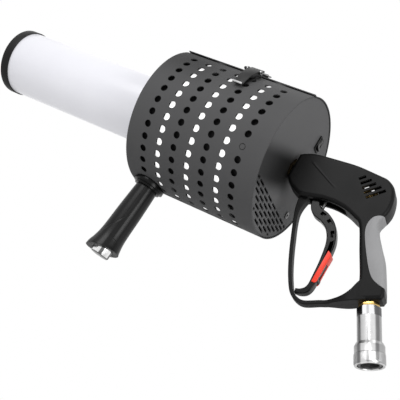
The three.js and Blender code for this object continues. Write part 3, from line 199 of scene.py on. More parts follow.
def grey(level):
    """A neutral colour from a level of 0 to 255 on screen."""
    share = level / 255
    linear = share / 12.92 if share < 0.04045 else ((share + 0.055) / 1.055) ** 2.4
    return (linear, linear, linear * 1.02, 1)


def powder_coat(name):
    """Satin powder coat with a fine orange peel. Each piece feeds it a colour of its own."""
    coat = Finish(name, Roughness=0.6, Specular_IOR_Level=0.12)
    coat.feed("Roughness", coat.noise(70, 3) * 0.12 + 0.54)
    coat.bump(coat.noise(0.9, 2), 0.035)
    return coat


drum_coat = powder_coat("drum_powder_coat")
x, y, z = drum_coat.along()
# Painted shade: the sleeve is darkened towards the front over its upper half, with random tone mixed in.
painted_shade_front = (1 - x.rise(-0.315, -0.235)) * z.rise(0.08, 0.15)
tone_and_painted_shade = drum_coat.noise(40, 3) * 0.16 + painted_shade_front * 0.6
drum_coat.colour(tone_and_painted_shade, grey(76), grey(26))

row_pitch = drum_radius * radians(row_turn)
first_hole = drum_front + front_margin
bpy.ops.mesh.primitive_circle_add(vertices=16, radius=hole_radius * mm)
sleeve = bpy.context.object
edit(sleeve)
bpy.ops.mesh.extrude_region_move()
for corner in (v for v in bmesh.from_edit_mesh(sleeve.data).verts if v.select):
    reach = max(abs(corner.co.x), abs(corner.co.y))
    corner.co.x *= hole_pitch / 2 * mm / reach
    corner.co.y *= row_pitch / 2 * mm / reach
bpy.ops.object.mode_set(mode="OBJECT")
first_row = radians(first_row_turn) * drum_radius
sleeve.data.transform(Matrix.Translation((first_hole * mm, first_row * mm, 0)))
for count, step in ((hole_columns, (hole_pitch * mm, 0, 0)), (hole_rows, (0, row_pitch * mm, 0))):
    apply_modifier(
        sleeve,
        "ARRAY",
        count=count,
        use_relative_offset=False,
        use_constant_offset=True,
        constant_offset_displace=step,
        use_merge_vertices=True,
        merge_threshold=0.01 * mm,
    )


def draw_out(piece, axis, place, step, count=1):
    """Extrudes the open edges that lie at one place along an axis."""
    bpy.ops.mesh.select_all(action="DESELECT")
    flat = bmesh.from_edit_mesh(piece.data)
    for open_edge in flat.edges:
        if all(abs(v.co[axis] - place) < 0.02 * mm for v in open_edge.verts):
            open_edge.select_set(True)
    bmesh.update_edit_mesh(piece.data)
    move = [0, 0, 0]
    move[axis] = step
    for _ in range(count):
        bpy.ops.mesh.extrude_region_move(TRANSFORM_OT_translate={"value": move})


holes_front = first_hole - hole_pitch / 2
holes_rear = holes_front + hole_columns * hole_pitch
rows_start = radians(first_row_turn - row_turn / 2) * drum_radius
rows_end = rows_start + hole_rows * row_pitch
seam_start = radians(seam_turn + seam_gap_turn) * drum_radius
seam_end = radians(360 + seam_turn - seam_gap_turn) * drum_radius
edit(sleeve)
draw_out(sleeve, 0, holes_front * mm, (drum_front - holes_front) * mm)
draw_out(sleeve, 0, holes_rear * mm, (drum_rear - holes_rear) * mm)
draw_out(sleeve, 1, rows_start * mm, (seam_start - rows_start) / 4 * mm, 4)
draw_out(sleeve, 1, rows_end * mm, (seam_end - rows_end) / 32 * mm, 32)
bpy.ops.mesh.select_all(action="DESELECT")
blank = Vector((first_hole + blank_column * hole_pitch, first_row + blank_row * row_pitch)) * mm
for edge_of_hole in bmesh.from_edit_mesh(sleeve.data).edges:
    if all((v.co.xy - blank).length < (hole_radius + 0.1) * mm for v in edge_of_hole.verts):
        edge_of_hole.select_set(True)
bmesh.update_edit_mesh(bpy.context.object.data)
bpy.ops.mesh.remove_doubles(threshold=0.01 * mm)
bpy.ops.mesh.edge_face_add()
for width, depth in ((groove_wall, -groove_depth), (groove_width, 0), (groove_wall, groove_depth)):
    bpy.ops.mesh.inset(thickness=width * mm, depth=depth * mm)
close(sleeve)
for point in sleeve.data.vertices:
    turn = point.co.y / (drum_radius * mm)
    radius = (drum_radius - sheet / 2) * mm + point.co.z
    if point.co.y > (seam_end - 0.1) * mm:
        radius += seam_lip * mm
    point.co = (point.co.x, -radius * sin(turn), axis_height * mm + radius * cos(turn))
apply_modifier(sleeve, "SOLIDIFY", thickness=sheet * mm, offset=0, use_even_offset=False)
edit(sleeve)
close(sleeve)
fit(sleeve, "drum_sleeve", drum_coat, "drum_coat", "blower", "perforated_sleeve")


# End plates: steel discs with a rim folded inwards, riveted into the sleeve. The rear one carries the
# gun, the switch and a field of vent slots; the front one holds the barrel's collar.
plate_radius, plate_sheet, plate_rim, rim_wall, plate_edge, plate_ease = 98.2, 2, 11, 1.6, 1.6, 0.5
rear_face, front_face, nipple_hole, tube_hole = -150.1, -350.5, 8.3, 48.8
vent_top, vent_rows, vent_row_pitch, vent_pitch = 54.5, 7, 6, 22.4
vent_length, vent_height, vent_reach, vent_shortest = 19.2, 3.7, 94.5, 7
switch_y, switch_z, switch_width, switch_height = 31.5, axis_height + 59.5, 13.6, 19.6
socket_y, socket_down, socket_hole = 60.8, 42.3, 8.6

plate_coat = powder_coat("plate_powder_coat")
plate_coat.colour(plate_coat.noise(70, 3), grey(81), grey(91))

# Round the gun the rear plate is painted dark, most of all on the side that is turned from the light: a
# painted shadow of the gun and a painted reflection of its black, with a little random tone.
rear_coat = powder_coat("rear_plate_powder_coat")
x, y, z = rear_coat.along()
from_gun = (y + 0.005) * -0.93 - (z - 0.064) * 0.36
beside_gun = rear_coat.maths("ABSOLUTE", (y + 0.005) * 0.36 - (z - 0.064) * 0.93 + 0.002)
painted_shade_round_gun = (1 - beside_gun.rise(0.012, 0.037)) * from_gun.rise(-0.035, -0.002)
painted_shade_round_gun = painted_shade_round_gun * (1 - from_gun.rise(0.015, 0.1) * 0.3) * (rear_coat.noise(40, 3) * 0.09 + 0.88)
rear_coat.colour(painted_shade_round_gun, grey(86), grey(2))


def turned(profile, sides=96, place=along_barrel, closed=True):
    """A round piece drawn up ring by ring from a circle: (height, radius) in millimetres."""
    ring = [(height, max(radius, 0.004)) for height, radius in profile]
    if closed:
        ring.append(ring[0])
    bpy.ops.mesh.primitive_circle_add(vertices=sides, radius=ring[0][1] * mm)
    piece = bpy.context.object
    piece.data.transform(Matrix.Translation((0, 0, ring[0][0] * mm)))
    edit(piece)
    for (height, radius), (next_height, next_radius) in zip(ring, ring[1:]):
        rise = (0, 0, (next_height - height) * mm)
        bpy.ops.mesh.extrude_region_move(TRANSFORM_OT_translate={"value": rise})
        share = next_radius / radius
        bpy.ops.transform.resize(value=(share, share, 1))
    close(piece)
    piece.data.transform(place)
    return piece


def joined(first, *others):
    """Makes several objects one piece."""
    chosen(first, *others)
    bpy.ops.object.join()
    return first


def carved(piece, *tools, operation="DIFFERENCE"):
    """Cuts a piece with other objects, which are used up."""
    for tool in tools:
        apply_modifier(piece, "BOOLEAN", object=tool, operation=operation, solver="EXACT")
        bpy.data.objects.remove(tool)
    return piece


def block(wide, deep, tall, x, y, z):
    """A box of these sizes in millimetres, about its middle."""
    bpy.ops.mesh.primitive_cube_add(size=1)
    piece = bpy.context.object
    stretch = Matrix.Diagonal((wide * mm, deep * mm, tall * mm, 1))
    piece.data.transform(Matrix.Translation((x * mm, y * mm, z * mm)) @ stretch)
    return piece


def slot_cutter(length, height, y, z):
    """A stretched rod across the plate, with round ends."""
    bpy.ops.mesh.primitive_cylinder_add(vertices=12, radius=height / 2 * mm, depth=20 * mm)
    piece = bpy.context.object
    for point in piece.data.vertices:
        point.co.x += copysign((length - height) / 2 * mm, point.co.x)
    across_plate = along_barrel.to_3x3().to_4x4()
    piece.data.transform(Matrix.Translation((rear_face * mm, y * mm, z * mm)) @ across_plate)
    return piece


def plate(face, inward, bore, *lip):
    """A disc with its rim folded inwards. The lip is how its face meets the bore."""
    profile = [
        (plate_sheet, bore),
        (plate_sheet, plate_radius - rim_wall),
        (plate_sheet + plate_rim, plate_radius - rim_wall),
        (plate_sheet + plate_rim, plate_radius),
        (plate_edge, plate_radius),
        (plate_ease, plate_radius - plate_ease),
        (0, plate_radius - plate_edge),
        *lip,
    ]
    return turned([(face + inward * depth, radius) for depth, radius in profile])


rear_plate = plate(rear_face, -1, nipple_hole, (0, 60), (0, nipple_hole))
vents = []
for row in range(vent_rows):
    down = vent_top + row * vent_row_pitch
    reach = sqrt(vent_reach**2 - down**2)
    shift = 0 if row % 2 else 0.5
    for i in range(-5, 6):
        middle = (i + shift) * vent_pitch
        low = max(middle - vent_length / 2, -reach)
        high = min(middle + vent_length / 2, reach)
        if high - low >= vent_shortest:
            vents.append(slot_cutter(high - low, vent_height, (low + high) / 2, axis_height - down))
carved(
    rear_plate,
    joined(*vents),
    block(20, switch_width, switch_height, rear_face, switch_y, switch_z),
    slot_cutter(socket_hole + 0.01, socket_hole, socket_y, axis_height - socket_down),
)
fit(rear_plate, "drum_rear_plate", rear_coat, "plate_coat", "blower", "rear_plate", smooth=20)

front_plate = plate(front_face, 1, tube_hole, (0, tube_hole + 0.5), (0.4, tube_hole))
fit(front_plate, "drum_front_plate", plate_coat, "plate_coat", "blower", "front_plate", smooth=20)


# Barrel: an extruded opal acrylic tube with a black ring pushed over its muzzle, and a faint painted glow
# that evens out its shading. A collar inside the drum and a breech disc carry it.
tube_front, tube_rear, tube_radius, tube_bore = -640.3, -313.3, 48.5, 45.5
muzzle_front, muzzle_length, muzzle_radius, muzzle_room = -642.3, 15, 50.2, 0.3

# Painted glow: a faint even emission over the whole tube.
opal = Finish("opal_acrylic", Roughness=0.28, Specular_IOR_Level=0.45, Emission_Strength=0.2)
haze = opal.noise(45, 2)
opal.colour(haze, (0.53, 0.53, 0.57, 1), (0.57, 0.57, 0.61, 1))
opal.feed("Emission Color", opal.mixed(haze, (0.96, 0.96, 1, 1), (1, 1, 1, 1)))
opal.bump(opal.noise(6, 1), 0.02)
tube_wall = [(tube_front, tube_bore), (tube_rear, tube_bore)]
tube_wall += [(tube_rear, tube_radius), (tube_front, tube_radius)]
tube = turned(tube_wall, 128)
fit(rounded(tube, 0.5), "barrel_opal_tube", opal, "opal_tube", "blower", "barrel_tube")


def moulded_plastic(name, level, roughness, grain=0.03, grain_size=0.5):
    """Moulded plastic with a fine spark grain."""
    plastic = Finish(name, Roughness=roughness, Specular_IOR_Level=0.14)
    cloud = plastic.noise(30, 2)
    spark = plastic.noise(grain_size, 3)
    plastic.colour(cloud, grey(level - 2), grey(level + 3))
    plastic.feed("Roughness", cloud * 0.14 + (roughness - 0.07))
    plastic.bump(spark, grain)
    return plastic


black_plastic = moulded_plastic("black_moulded_plastic", 26, 0.42)
gloss_plastic = moulded_plastic("black_gloss_plastic", 9, 0.22, 0.006, 3)
muzzle_wall = [
    (muzzle_front, tube_bore),
    (tube_front - muzzle_room, tube_bore),
    (tube_front - muzzle_room, tube_radius + muzzle_room),
    (muzzle_front + muzzle_length, tube_radius + muzzle_room),
    (muzzle_front + muzzle_length, muzzle_radius),
    (muzzle_front + 1, muzzle_radius),
    (muzzle_front, muzzle_radius - 1),
]
muzzle_ring = turned(muzzle_wall, 128)
fit(rounded(muzzle_ring, 0.4), "barrel_muzzle_ring", black_plastic, "black_plastic", "blower", "muzzle_ring")


def dress(finish, *nodes):
    """Gives CAD nodes whose own shape stays their finish."""
    for node in nodes:
        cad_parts[node].data.materials.clear()
        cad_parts[node].data.materials.append(finish.material)


dress(black_plastic, "barrel_collar", "breech_disc")


# Gas line: brass nipples, nuts and valve, and a steel pipe that runs through the drum to the breech.
# They are turned from bar, so their finish has the fine rings of the lathe.
def turned_metal(name, colour, roughness, place):
    """Metal turned on a lathe: rings round the piece's own axis."""
    metal = Finish(name, Metallic=1.0, Roughness=roughness)
    x, y, z = metal.along(metal.turned_to(place))
    radius = metal.maths("SQRT", x * x + y * y)
    spread = metal.node("ShaderNodeCombineXYZ", {}, {"X": radius, "Y": z, "Z": 0.0})
    rings = metal.noise(0.35, 3, spread)
    cloud = metal.noise(9, 2)
    dark = tuple(share * 0.86 for share in colour)
    metal.colour(cloud, (*dark, 1), (*colour, 1))
    metal.feed("Roughness", rings * 0.16 + (roughness - 0.08))
    metal.bump(rings, 0.004)
    return metal


hand_lean = 28
hand_axis = Matrix.Rotation(radians(-hand_lean), 4, "Y")
# Painted shade: the brass of the outlet nipple and lock nuts is almost black, as they lie in the gun's shadow
# and inside the drum.
brass_in_painted_shade = turned_metal("brass_on_barrel_in_painted_shade", (0.1, 0.075, 0.04), 0.2, along_barrel)
hand_brass = turned_metal("brass_on_inlet", (0.74, 0.5, 0.17), 0.26, hand_axis)
# Painted shade: this steel is dark, as the pipe, screws, stem, springs and bolt lie in shadow inside other
# parts.
steel_in_painted_shade = turned_metal("steel_on_barrel_in_painted_shade", (0.2, 0.2, 0.2), 0.35, along_barrel)
valve_brass = turned_metal("brass_valve", (0.74, 0.52, 0.2), 0.26, along_barrel)
dress(brass_in_painted_shade, "outlet_nipple", "outer_lock_nut", "inner_lock_nut")
dress(valve_brass, "valve_body", "valve_cap", "valve_spring")
dress(hand_brass, "inlet_tube", "coupler_poppet")
dress(steel_in_painted_shade, "gas_pipe", "collar_screw_1", "collar_screw_2", "collar_screw_3")
dress(steel_in_painted_shade, "valve_stem", "poppet_spring", "coupler_spring", "foregrip_bolt")


# Lighting: three white strips on a black inner drum, each behind one column of holes, fed by a battery
# pack and a controller on the rear plate.
lit = Finish("white_diffuser", Roughness=0.5, Emission_Strength=0.8)
lit.colour(lit.noise(8, 2), (0.88, 0.88, 0.87, 1), (0.94, 0.94, 0.93, 1))
lit.feed("Emission Color", (1, 1, 1, 1))
dress(lit, "led_strip_1", "led_strip_2", "led_strip_3")
dress(black_plastic, "led_carrier", "led_controller", "battery_pack")


# Rocker switch and charging socket: pressed into the rear plate on the side away from the latch. The
# bezel is matt and snaps in from outside; the button is glossy and rocks in it.
bezel_face, bezel_width, bezel_height, bezel_lip = -147.8, 15, 21, 2
window_width, window_height, button_half, button_tilt, pivot_depth = 10.8, 17.2, 4.8, radians(8), 1.5
socket_face, socket_back, socket_flange, socket_barrel, socket_bore = -148.6, -160.6, 5, 4, 1.7


def placed(name, data):
    """A new object in the scene."""
    piece = bpy.data.objects.new(name, data)
    bpy.context.scene.collection.objects.link(piece)
    return piece


def extruded(outline, low, high):
    """An outline in the X-Z plane, in millimetres, drawn out along Y from low to high."""
    mesh = bpy.data.meshes.new("outline")
    corners = [(x * mm, low * mm, z * mm) for x, z in outline]
    mesh.from_pydata(corners, [], [list(range(len(corners)))])
    piece = placed("outline", mesh)
    edit(piece)
    bpy.ops.mesh.extrude_region_move(TRANSFORM_OT_translate={"value": (0, (high - low) * mm, 0)})
    bpy.ops.mesh.select_all(action="SELECT")
    bpy.ops.mesh.fill_holes(sides=0)
    return close(piece)


bezel = joined(
    block(bezel_lip, bezel_width, bezel_height, bezel_face - 1, switch_y, switch_z),
    block(14, bezel_width - 2, bezel_height - 2, bezel_face - 8.5, switch_y, switch_z),
)
carved(bezel, block(18, window_width, window_height, bezel_face, switch_y, switch_z))
fit(rounded(bezel, 0.45), "switch_bezel", black_plastic, "black_plastic", "blower", "rocker_bezel")

button_side = [(-5.6, -2.4), (-5.6, 2.4), (-0.4, 7.7), (3.4, 8), (2.4, 5), (1.5, 1.6)]
button_side += [(1.2, 0), (1.5, -1.6), (2.4, -5), (3.4, -8), (-0.4, -7.7)]
button = extruded(button_side, -button_half, button_half)
button.data.transform(
    Matrix.Translation(Vector((bezel_face - pivot_depth, switch_y, switch_z)) * mm)
    @ Matrix.Rotation(-button_tilt, 4, "Y")
)
fit(rounded(button, 0.5), "switch_button", gloss_plastic, "gloss_black", "rocker", "rocker_button")

socket_place = Matrix.Translation((0, socket_y * mm, -socket_down * mm)) @ along_barrel
socket_side = [(socket_back, socket_bore), (socket_face - 0.3, socket_bore), (socket_face, socket_bore + 0.4)]
socket_side += [(socket_face, socket_flange), (socket_face - 1.2, socket_flange)]
socket_side += [(socket_face - 1.2, socket_barrel), (socket_back, socket_barrel)]
charging = turned(socket_side, 40, socket_place)
# Painted shade: the nickel is almost black, so the socket reflects little of the white studio.
nickel_in_painted_shade = turned_metal("nickel_socket_in_painted_shade", (0.09, 0.09, 0.09), 0.2, socket_place)
fit(rounded(charging, 0.2), "charging_jack", nickel_in_painted_shade, "dark_steel", "blower", "charging_socket")


# Toggle latch: pressed steel, blacked. The lever turns on ears that stand up from its base, and its
# bright wire bail hooks over the keeper beyond the seam. Both plates are riveted to the sleeve.
latch_turn, latch_x, hinge_radius = 38, -236, 107
lever_length, lever_rise, lever_half, lever_narrowing, latch_sheet = 48, 4.2, 9, 0.2, 1.5
bail_arm, bail_lean, bail_half, bail_wire, bail_turn, bail_end = 9, radians(8), 10.3, 2, 25, 103.4
lever_shares = [(-0.067, 0.25), (-0.03, 0.52), (0.03, 0.6), (0.19, 0.56), (0.38, 0.24)]
lever_shares += [(0.58, -0.55), (0.79, -2.05), (0.93, -3.2), (0.985, -3.1), (1, -2.5)]
flange_shares = [(-0.06, -0.2), (-0.055, 0.45), (0.03, 0.6), (0.19, 0.56), (0.38, 0.24)]
flange_shares += [(0.58, -0.55), (0.62, -1.25), (0.46, -1.3), (0.2, -0.95), (0, -0.75)]
latch_place = (
    Matrix.Translation((latch_x * mm, 0, axis_height * mm))
    @ Matrix.Rotation(radians(latch_turn), 4, "X")
    @ Matrix.Rotation(radians(-90), 4, "Z")
)

blacked = Finish("blacked_steel", Roughness=0.34, Specular_IOR_Level=0.25)
stain = blacked.noise(6, 3)
blacked.colour(stain, grey(20), grey(30))
blacked.feed("Roughness", stain * 0.2 + 0.26)
blacked.bump(blacked.noise(0.6, 3), 0.012)


def flowing(points, steps=5):
    """Points along a smooth curve through the given ones, which keeps both its ends."""
    line = [Vector(point) for point in points]
    line = [2 * line[0] - line[1], *line, 2 * line[-1] - line[-2]]
    curve = []
    for before, start, end, after in zip(line, line[1:], line[2:], line[3:]):
        bend = 2 * before - 5 * start + 4 * end - after
        twist = 3 * start - before - 3 * end + after
        for t in (step / steps for step in range(steps)):
            curve.append((2 * start + (end - before) * t + bend * t * t + twist * t**3) / 2)
    curve.append(line[-2])
    return curve


def ribbon(line, depths, aside=0):
    """The outline of a band that follows a line, as deep as given at each of its points."""
    left, right = [], []
    for i, point in enumerate(line):
        along = (line[min(i + 1, len(line) - 1)] - line[max(i - 1, 0)]).normalized()
        across = Vector((-along.y, along.x))
        left.append(point + across * (aside + depths[i] / 2))
        right.append(point + across * (aside - depths[i] / 2))
    return left + right[::-1]


def on_lever(shares):
    return [(along * lever_length, hinge_radius + up * lever_rise) for along, up in shares]


lever_line = flowing(on_lever(lever_shares))
lever = extruded(ribbon(lever_line, [latch_sheet] * len(lever_line)), -lever_half, lever_half)
for side in (-1, 1):
    faces = sorted((side * lever_half, side * (lever_half - latch_sheet)))
    joined(lever, extruded(on_lever(flange_shares), *faces))
for point in lever.data.vertices:
    towards_end = min(max(point.co.x / (lever_length * mm) - 0.3, 0) / 0.5, 1)
    point.co.y *= 1 - lever_narrowing * towards_end
lever.data.transform(latch_place)
# The lever's end edge is made bright and metallic.
bright_ended = Finish("blacked_steel_bright_end", Specular_IOR_Level=0.25)
x, y, z = bright_ended.along(bright_ended.turned_to(latch_place))
bright_end_share = x.rise((lever_length - 0.1) * mm, (lever_length + 0.4) * mm)
bright_ended.colour(bright_end_share, grey(26), (0.72, 0.72, 0.72, 1))
bright_ended.feed("Metallic", bright_end_share)
bright_ended.feed("Roughness", 0.34 - bright_end_share * 0.1 + bright_ended.noise(6, 3) * 0.1)
bright_ended.bump(bright_ended.noise(0.6, 3), 0.012)
fit(rounded(lever, 0.3), "latch_handle", bright_ended, "dark_steel", "latch_lever", "latch_lever")


def copied(piece):
    """A copy with its own mesh."""
    other = piece.copy()
    other.data = piece.data.copy()
    bpy.context.scene.collection.objects.link(other)
    return other


def softened(node, width=0.3):
    """A copy of a CAD node with its triangles merged and its sharp edges broken."""
    piece = copied(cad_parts[node])
    piece.parent = None
    piece.matrix_world = Matrix.Identity(4)
    edit(piece)
    bpy.ops.mesh.remove_doubles(threshold=0.01 * mm)
    bpy.ops.mesh.dissolve_limited(angle_limit=radians(2))
    return rounded(close(piece), width, 2, 30)


fit(softened("latch_base"), "latch_foot", blacked, "dark_steel", "blower", "latch_base")
fit(softened("latch_keeper"), "latch_hook", blacked, "dark_steel", "blower", "latch_keeper")


def bright_steel(name, tone=0.6):
    """Drawn steel of wire and pins, with faint scratches."""
    steel = Finish(name, Metallic=1.0, Roughness=0.22)
    cloud = steel.noise(5, 3)
    dark, light = (tone * 0.9, tone * 0.9, tone * 0.9, 1), (tone, tone, tone * 1.01, 1)
    steel.colour(cloud, dark, light)
    steel.feed("Roughness", cloud * 0.18 + 0.14)
    steel.bump(steel.noise(0.4, 3), 0.006)
    return steel


bright = bright_steel("bright_wire")


def wire(points, radius):
    """A round wire bent along a line of points."""
    line = bpy.data.curves.new("wire", "CURVE")
    line.dimensions = "3D"
    line.bevel_depth = radius * mm
    line.bevel_resolution = 3
    line.use_fill_caps = True
    spline = line.splines.new("POLY")
    spline.points.add(len(points) - 1)
    for place, point in zip(spline.points, points):
        place.co = (*(point * mm), 1)
    chosen(placed("wire", line))
    bpy.ops.object.convert(target="MESH")
    return bpy.context.object


bail_pivot = Vector((0, hinge_radius)) + bail_arm * Vector((cos(bail_lean), sin(bail_lean)))
hook_turn = radians(bail_turn - latch_turn)
hook = Vector((sin(hook_turn), cos(hook_turn))) * bail_end
run = (hook - bail_pivot).normalized()
arms, eyes = [], []
for side in (-1, 1):
    arm = [Vector((bail_pivot.x, side * bail_half, bail_pivot.y))]
    for short, inward in ((2, 0), (1.3, 0.15), (0.6, 0.6), (0.15, 1.3), (0, 2)):
        bend = hook - run * short
        arm.append(Vector((bend.x, side * (bail_half - inward), bend.y)))
    arms.append(arm)
    eye_place = Matrix.Translation(arm[0] * mm) @ Matrix.Rotation(radians(90), 4, "X")
    eyes.append(turned([(-1, 1.8), (1, 1.8), (1, 3), (-1, 3)], 32, eye_place))
bail = joined(wire(arms[0] + arms[1][::-1], bail_wire / 2), *eyes)
bail.data.transform(latch_place)
dull = bright_steel("bail_wire", 0.25)
fit(bail, "latch_wire_bail", dull, "steel", "latch_bail", "latch_bail", smooth=50)
dress(blacked, "latch_rivet_1", "latch_rivet_2", "latch_rivet_3", "latch_rivet_4")
dress(blacked, "latch_hinge_pin", "latch_pin")


# Gun housing: two halves of black glass-filled plastic, screwed together from the right along a parting
# line. The hand guard is moulded in one with them, and a soft grey pad is set into the grip.
nose, body_length, body_rise, body_drop, gun_half, gun_round, gun_wall = -145.3, 140, 32, 29.5, 16, 5, 3
grip_rake, grip_down, grip_rear, grip_front = radians(hand_lean), 54.5, 20.6, 9.2
pad_depth, seat_gap, through = 2.6, 0.3, 24
guard_down, guard_reach, guard_depth, guard_half = 52.2, 95.5, 4.9, 7
slot_lengths, slot_width, slot_pitch, slot_slope = (9.8, 14.8, 18.2, 22.8, 26), 4, 7.05, radians(45)
slots_x, slots_up, mouth_x, mouth_length, mouth_width = -57.3, 14.4, -80.8, 51, 16
inlet_hole, screw_hole, screw_seat = 6.3, 3.3, 12.1
top_shares = [(0, 0.56), (0.036, 0.67), (0.15, 0.84), (0.364, 0.94), (0.557, 1), (0.771, 0.95)]
top_shares += [(0.871, 0.9), (0.955, 0.66), (1, 0.26), (1.018, -0.16), (1.01, -0.48)]
back_shares = [(-0.91, 0.93), (-0.76, 0.66), (-0.396, 0.78), (-0.015, 0.965), (0.354, 1)]
back_shares += [(0.66, 1), (0.917, 0.971)]
front_shares = [(1, -1.5), (0.77, -1.4), (0.6, -1.14), (0.37, -1), (-0.2, -1.01), (-0.81, -1.02)]
under_shares = [(0.748, -1.15), (0.642, -0.97), (0.521, -0.9), (0.398, -0.94), (0.28, -1.08), (0.2, -1.15)]
under_shares += [(0.12, -1.02), (0.046, -0.82), (0, -0.57)]
pad_shares = [(-0.97, 1.1), (-0.984, 0.739), (-0.954, 0.422), (-0.829, 0.104), (-0.634, -0.076)]
pad_shares += [(-0.34, -0.082), (0.016, 0), (0.303, 0.102), (0.524, 0.285), (0.686, 0.657), (0.8, 1.1)]
guard_shares = [(-1.84, -0.806), (-1.494, -0.907), (-1.169, -0.949), (-0.536, -0.984), (-0.01, -1)]
guard_shares += [(0.421, -0.995), (0.728, -0.969), (0.91, -0.901), (0.996, -0.806), (1, -0.628)]
guard_shares += [(1.008, -0.531), (1, -0.432), (0.985, -0.31)]
guard_depths = [3, 1.6, 1.04, 1, 1, 1, 1, 1.04, 1.08, 1.05, 1.05, 1.1, 1.1]
toe_upper = [(-28, -71.9), (-20.5, -67.6), (-13.2, -62.4), (-7, -57.2)]
toe_upper += [(-2, -51), (1.8, -43.5), (4, -36), (7, -28)]
toe_lower = [(13.4, -54.4), (4.5, -59.8), (-3.5, -64.2), (-12, -68.6), (-20, -72.6), (-26.6, -75.7)]


def on_body(shares, rise):
    return [Vector((nose + along * body_length, axis_height + up * rise)) for along, up in shares]


def on_grip(shares, down, across):
    """Places given as shares down the raked grip and back from its middle."""
    lower = Vector((sin(grip_rake), -cos(grip_rake))) * down
    rearward = Vector((cos(grip_rake), sin(grip_rake))) * across
    return [s * lower + t * rearward for s, t in shares]


def drawn_in(outline, depth):
    """A clockwise outline moved inwards by a depth all the way round."""
    moved = []
    for before, point, after in zip(outline[-1:] + outline[:-1], outline, outline[1:] + outline[:1]):
        first, second = (point - before).normalized(), (after - point).normalized()
        inward = Vector((first.y + second.y, -first.x - second.x))
        moved.append(point + inward * depth / (1 + first.dot(second)))
    return moved


def swelling(depths, full, steps=5):
    """Depths that change smoothly along a flowing line, from shares at its points."""
    return [point.x * full for point in flowing([(depth, 0) for depth in depths], steps)]


def slab(outline, half, edge_round=0, steps=4):
    """An outline drawn out to both sides of the middle plane, its edges rolled over by insets."""
    piece = extruded(outline, edge_round - half, half - edge_round)
    for side in (-1, 1) if edge_round else ():
        edit(piece, "DESELECT")
        for face in bmesh.from_edit_mesh(piece.data).faces:
            if face.normal.y * side > 0.99:
                face.select_set(True)
        bmesh.update_edit_mesh(piece.data)
        for step in range(steps):
            low, high = (pi / 2 * turn / steps for turn in (step, step + 1))
            inward = edge_round * (cos(low) - cos(high))
            outward = edge_round * (sin(high) - sin(low))
            bpy.ops.mesh.inset(thickness=inward * mm, depth=outward * mm)
        bpy.ops.object.mode_set(mode="OBJECT")
    return piece


def rod(low, high, radius, place, sides=48):
    """A plain rod along a piece's own axis."""
    return turned([(low, 0), (low, radius), (high, radius), (high, 0)], sides, place, closed=False)


def cross_rod(x, z, radius, low, high, sides=24):
    """A rod across the gun, from one side to the other."""
    place = Matrix.Translation((x * mm, 0, z * mm)) @ Matrix.Rotation(radians(-90), 4, "X")
    return rod(low, high, radius, place, sides)


back_line = on_body(top_shares, body_rise) + on_grip(back_shares, grip_down, grip_rear)
front_line = on_grip(front_shares, grip_down, grip_front) + on_body(under_shares, body_drop)
heel = on_grip([(1, 0.8)], grip_down, grip_rear)
corners = [back_line[0], back_line[-1], *heel, front_line[0], front_line[-1]]
gun_outline = []
for point in flowing(back_line) + heel + flowing(front_line):
    away = min((point - corner).length for corner in corners)
    if away < 0.01 or away > gun_round * 1.2:
        gun_outline.append(point)
pad_line = flowing(on_grip(pad_shares, grip_down, grip_rear))
pad_outline = (pad_line + on_grip([(0.8, 2), (-0.8, 2)], grip_down, grip_rear))[::-1]
pad_back = on_grip([(-1.02, 2), (0.87, 2), (0.87, 0.2), (-1.02, 0.2)], grip_down, grip_rear)
guard_line = flowing(on_grip(guard_shares, guard_down, guard_reach))
guard_band = ribbon(guard_line, swelling(guard_depths, guard_depth))

pad = carved(
    slab(gun_outline, gun_half, gun_round),
    slab(drawn_in(pad_outline, seat_gap), through),
    operation="INTERSECT",
)
carved(pad, slab(drawn_in(gun_outline, pad_depth), gun_half - pad_depth, gun_round - pad_depth))
pad_recess = carved(
    slab(pad_outline, through),
    slab(drawn_in(gun_outline, pad_depth + seat_gap), gun_half - pad_depth - seat_gap, 2),
)
hollow = drawn_in(gun_outline, gun_wall)
body_room = carved(slab(hollow, gun_half - gun_wall), slab(drawn_in(pad_outline, -gun_wall), through))
grip_room = carved(
    slab(hollow, gun_half - gun_wall - pad_depth),
    carved(slab(pad_back, through), slab(drawn_in(gun_outline, gun_wall + pad_depth), through + 1)),
)
slots = []
for i, length in enumerate(slot_lengths):
    step = i * slot_pitch * sin(slot_slope)
    start = Vector((slots_x + step, 0, axis_height + slots_up - step))
    tool = rounded(block(length, through * 2, slot_width, length / 2, 0, 0), 0.8, 3)
    tool.data.transform(Matrix.Translation(start * mm) @ Matrix.Rotation(-slot_slope, 4, "Y"))
    slots.append(tool)
screw_places = on_body([(0.107, 0.55), (0.918, 0.09), (0.7, -0.64)], body_rise)
screw_places += on_grip([(0.85, 0.63)], grip_down, grip_rear)

inside_grip = [Vector((16, -27)), Vector((24, -49))]
toe = extruded(flowing(toe_upper, 4) + inside_grip + flowing(toe_lower, 4), -1, 1)
apply_modifier(toe, "TRIANGULATE")
for point in toe.data.vertices:
    swell = min(max((point.co.x / mm + 24) / 31, 0), 1)
    point.co.y *= guard_half + (gun_half - 0.1 - guard_half) * swell * swell * (3 - 2 * swell)
housing = slab(gun_outline, gun_half, gun_round)
carved(housing, slab(guard_band, guard_half, 1.4, 3), rounded(toe, 1.3, 3, 40), operation="UNION")
carved(
    housing,
    body_room,
    grip_room,
    pad_recess,
    block(mouth_length, mouth_width, body_drop, mouth_x, 0, axis_height - body_drop),
    joined(*slots),
    rod(nose - 5, nose + 9, nipple_hole, along_barrel),
    rod(-60, -44, inlet_hole, hand_axis),
    joined(*(cross_rod(x, z, screw_hole, screw_seat, through) for x, z in screw_places)),
)
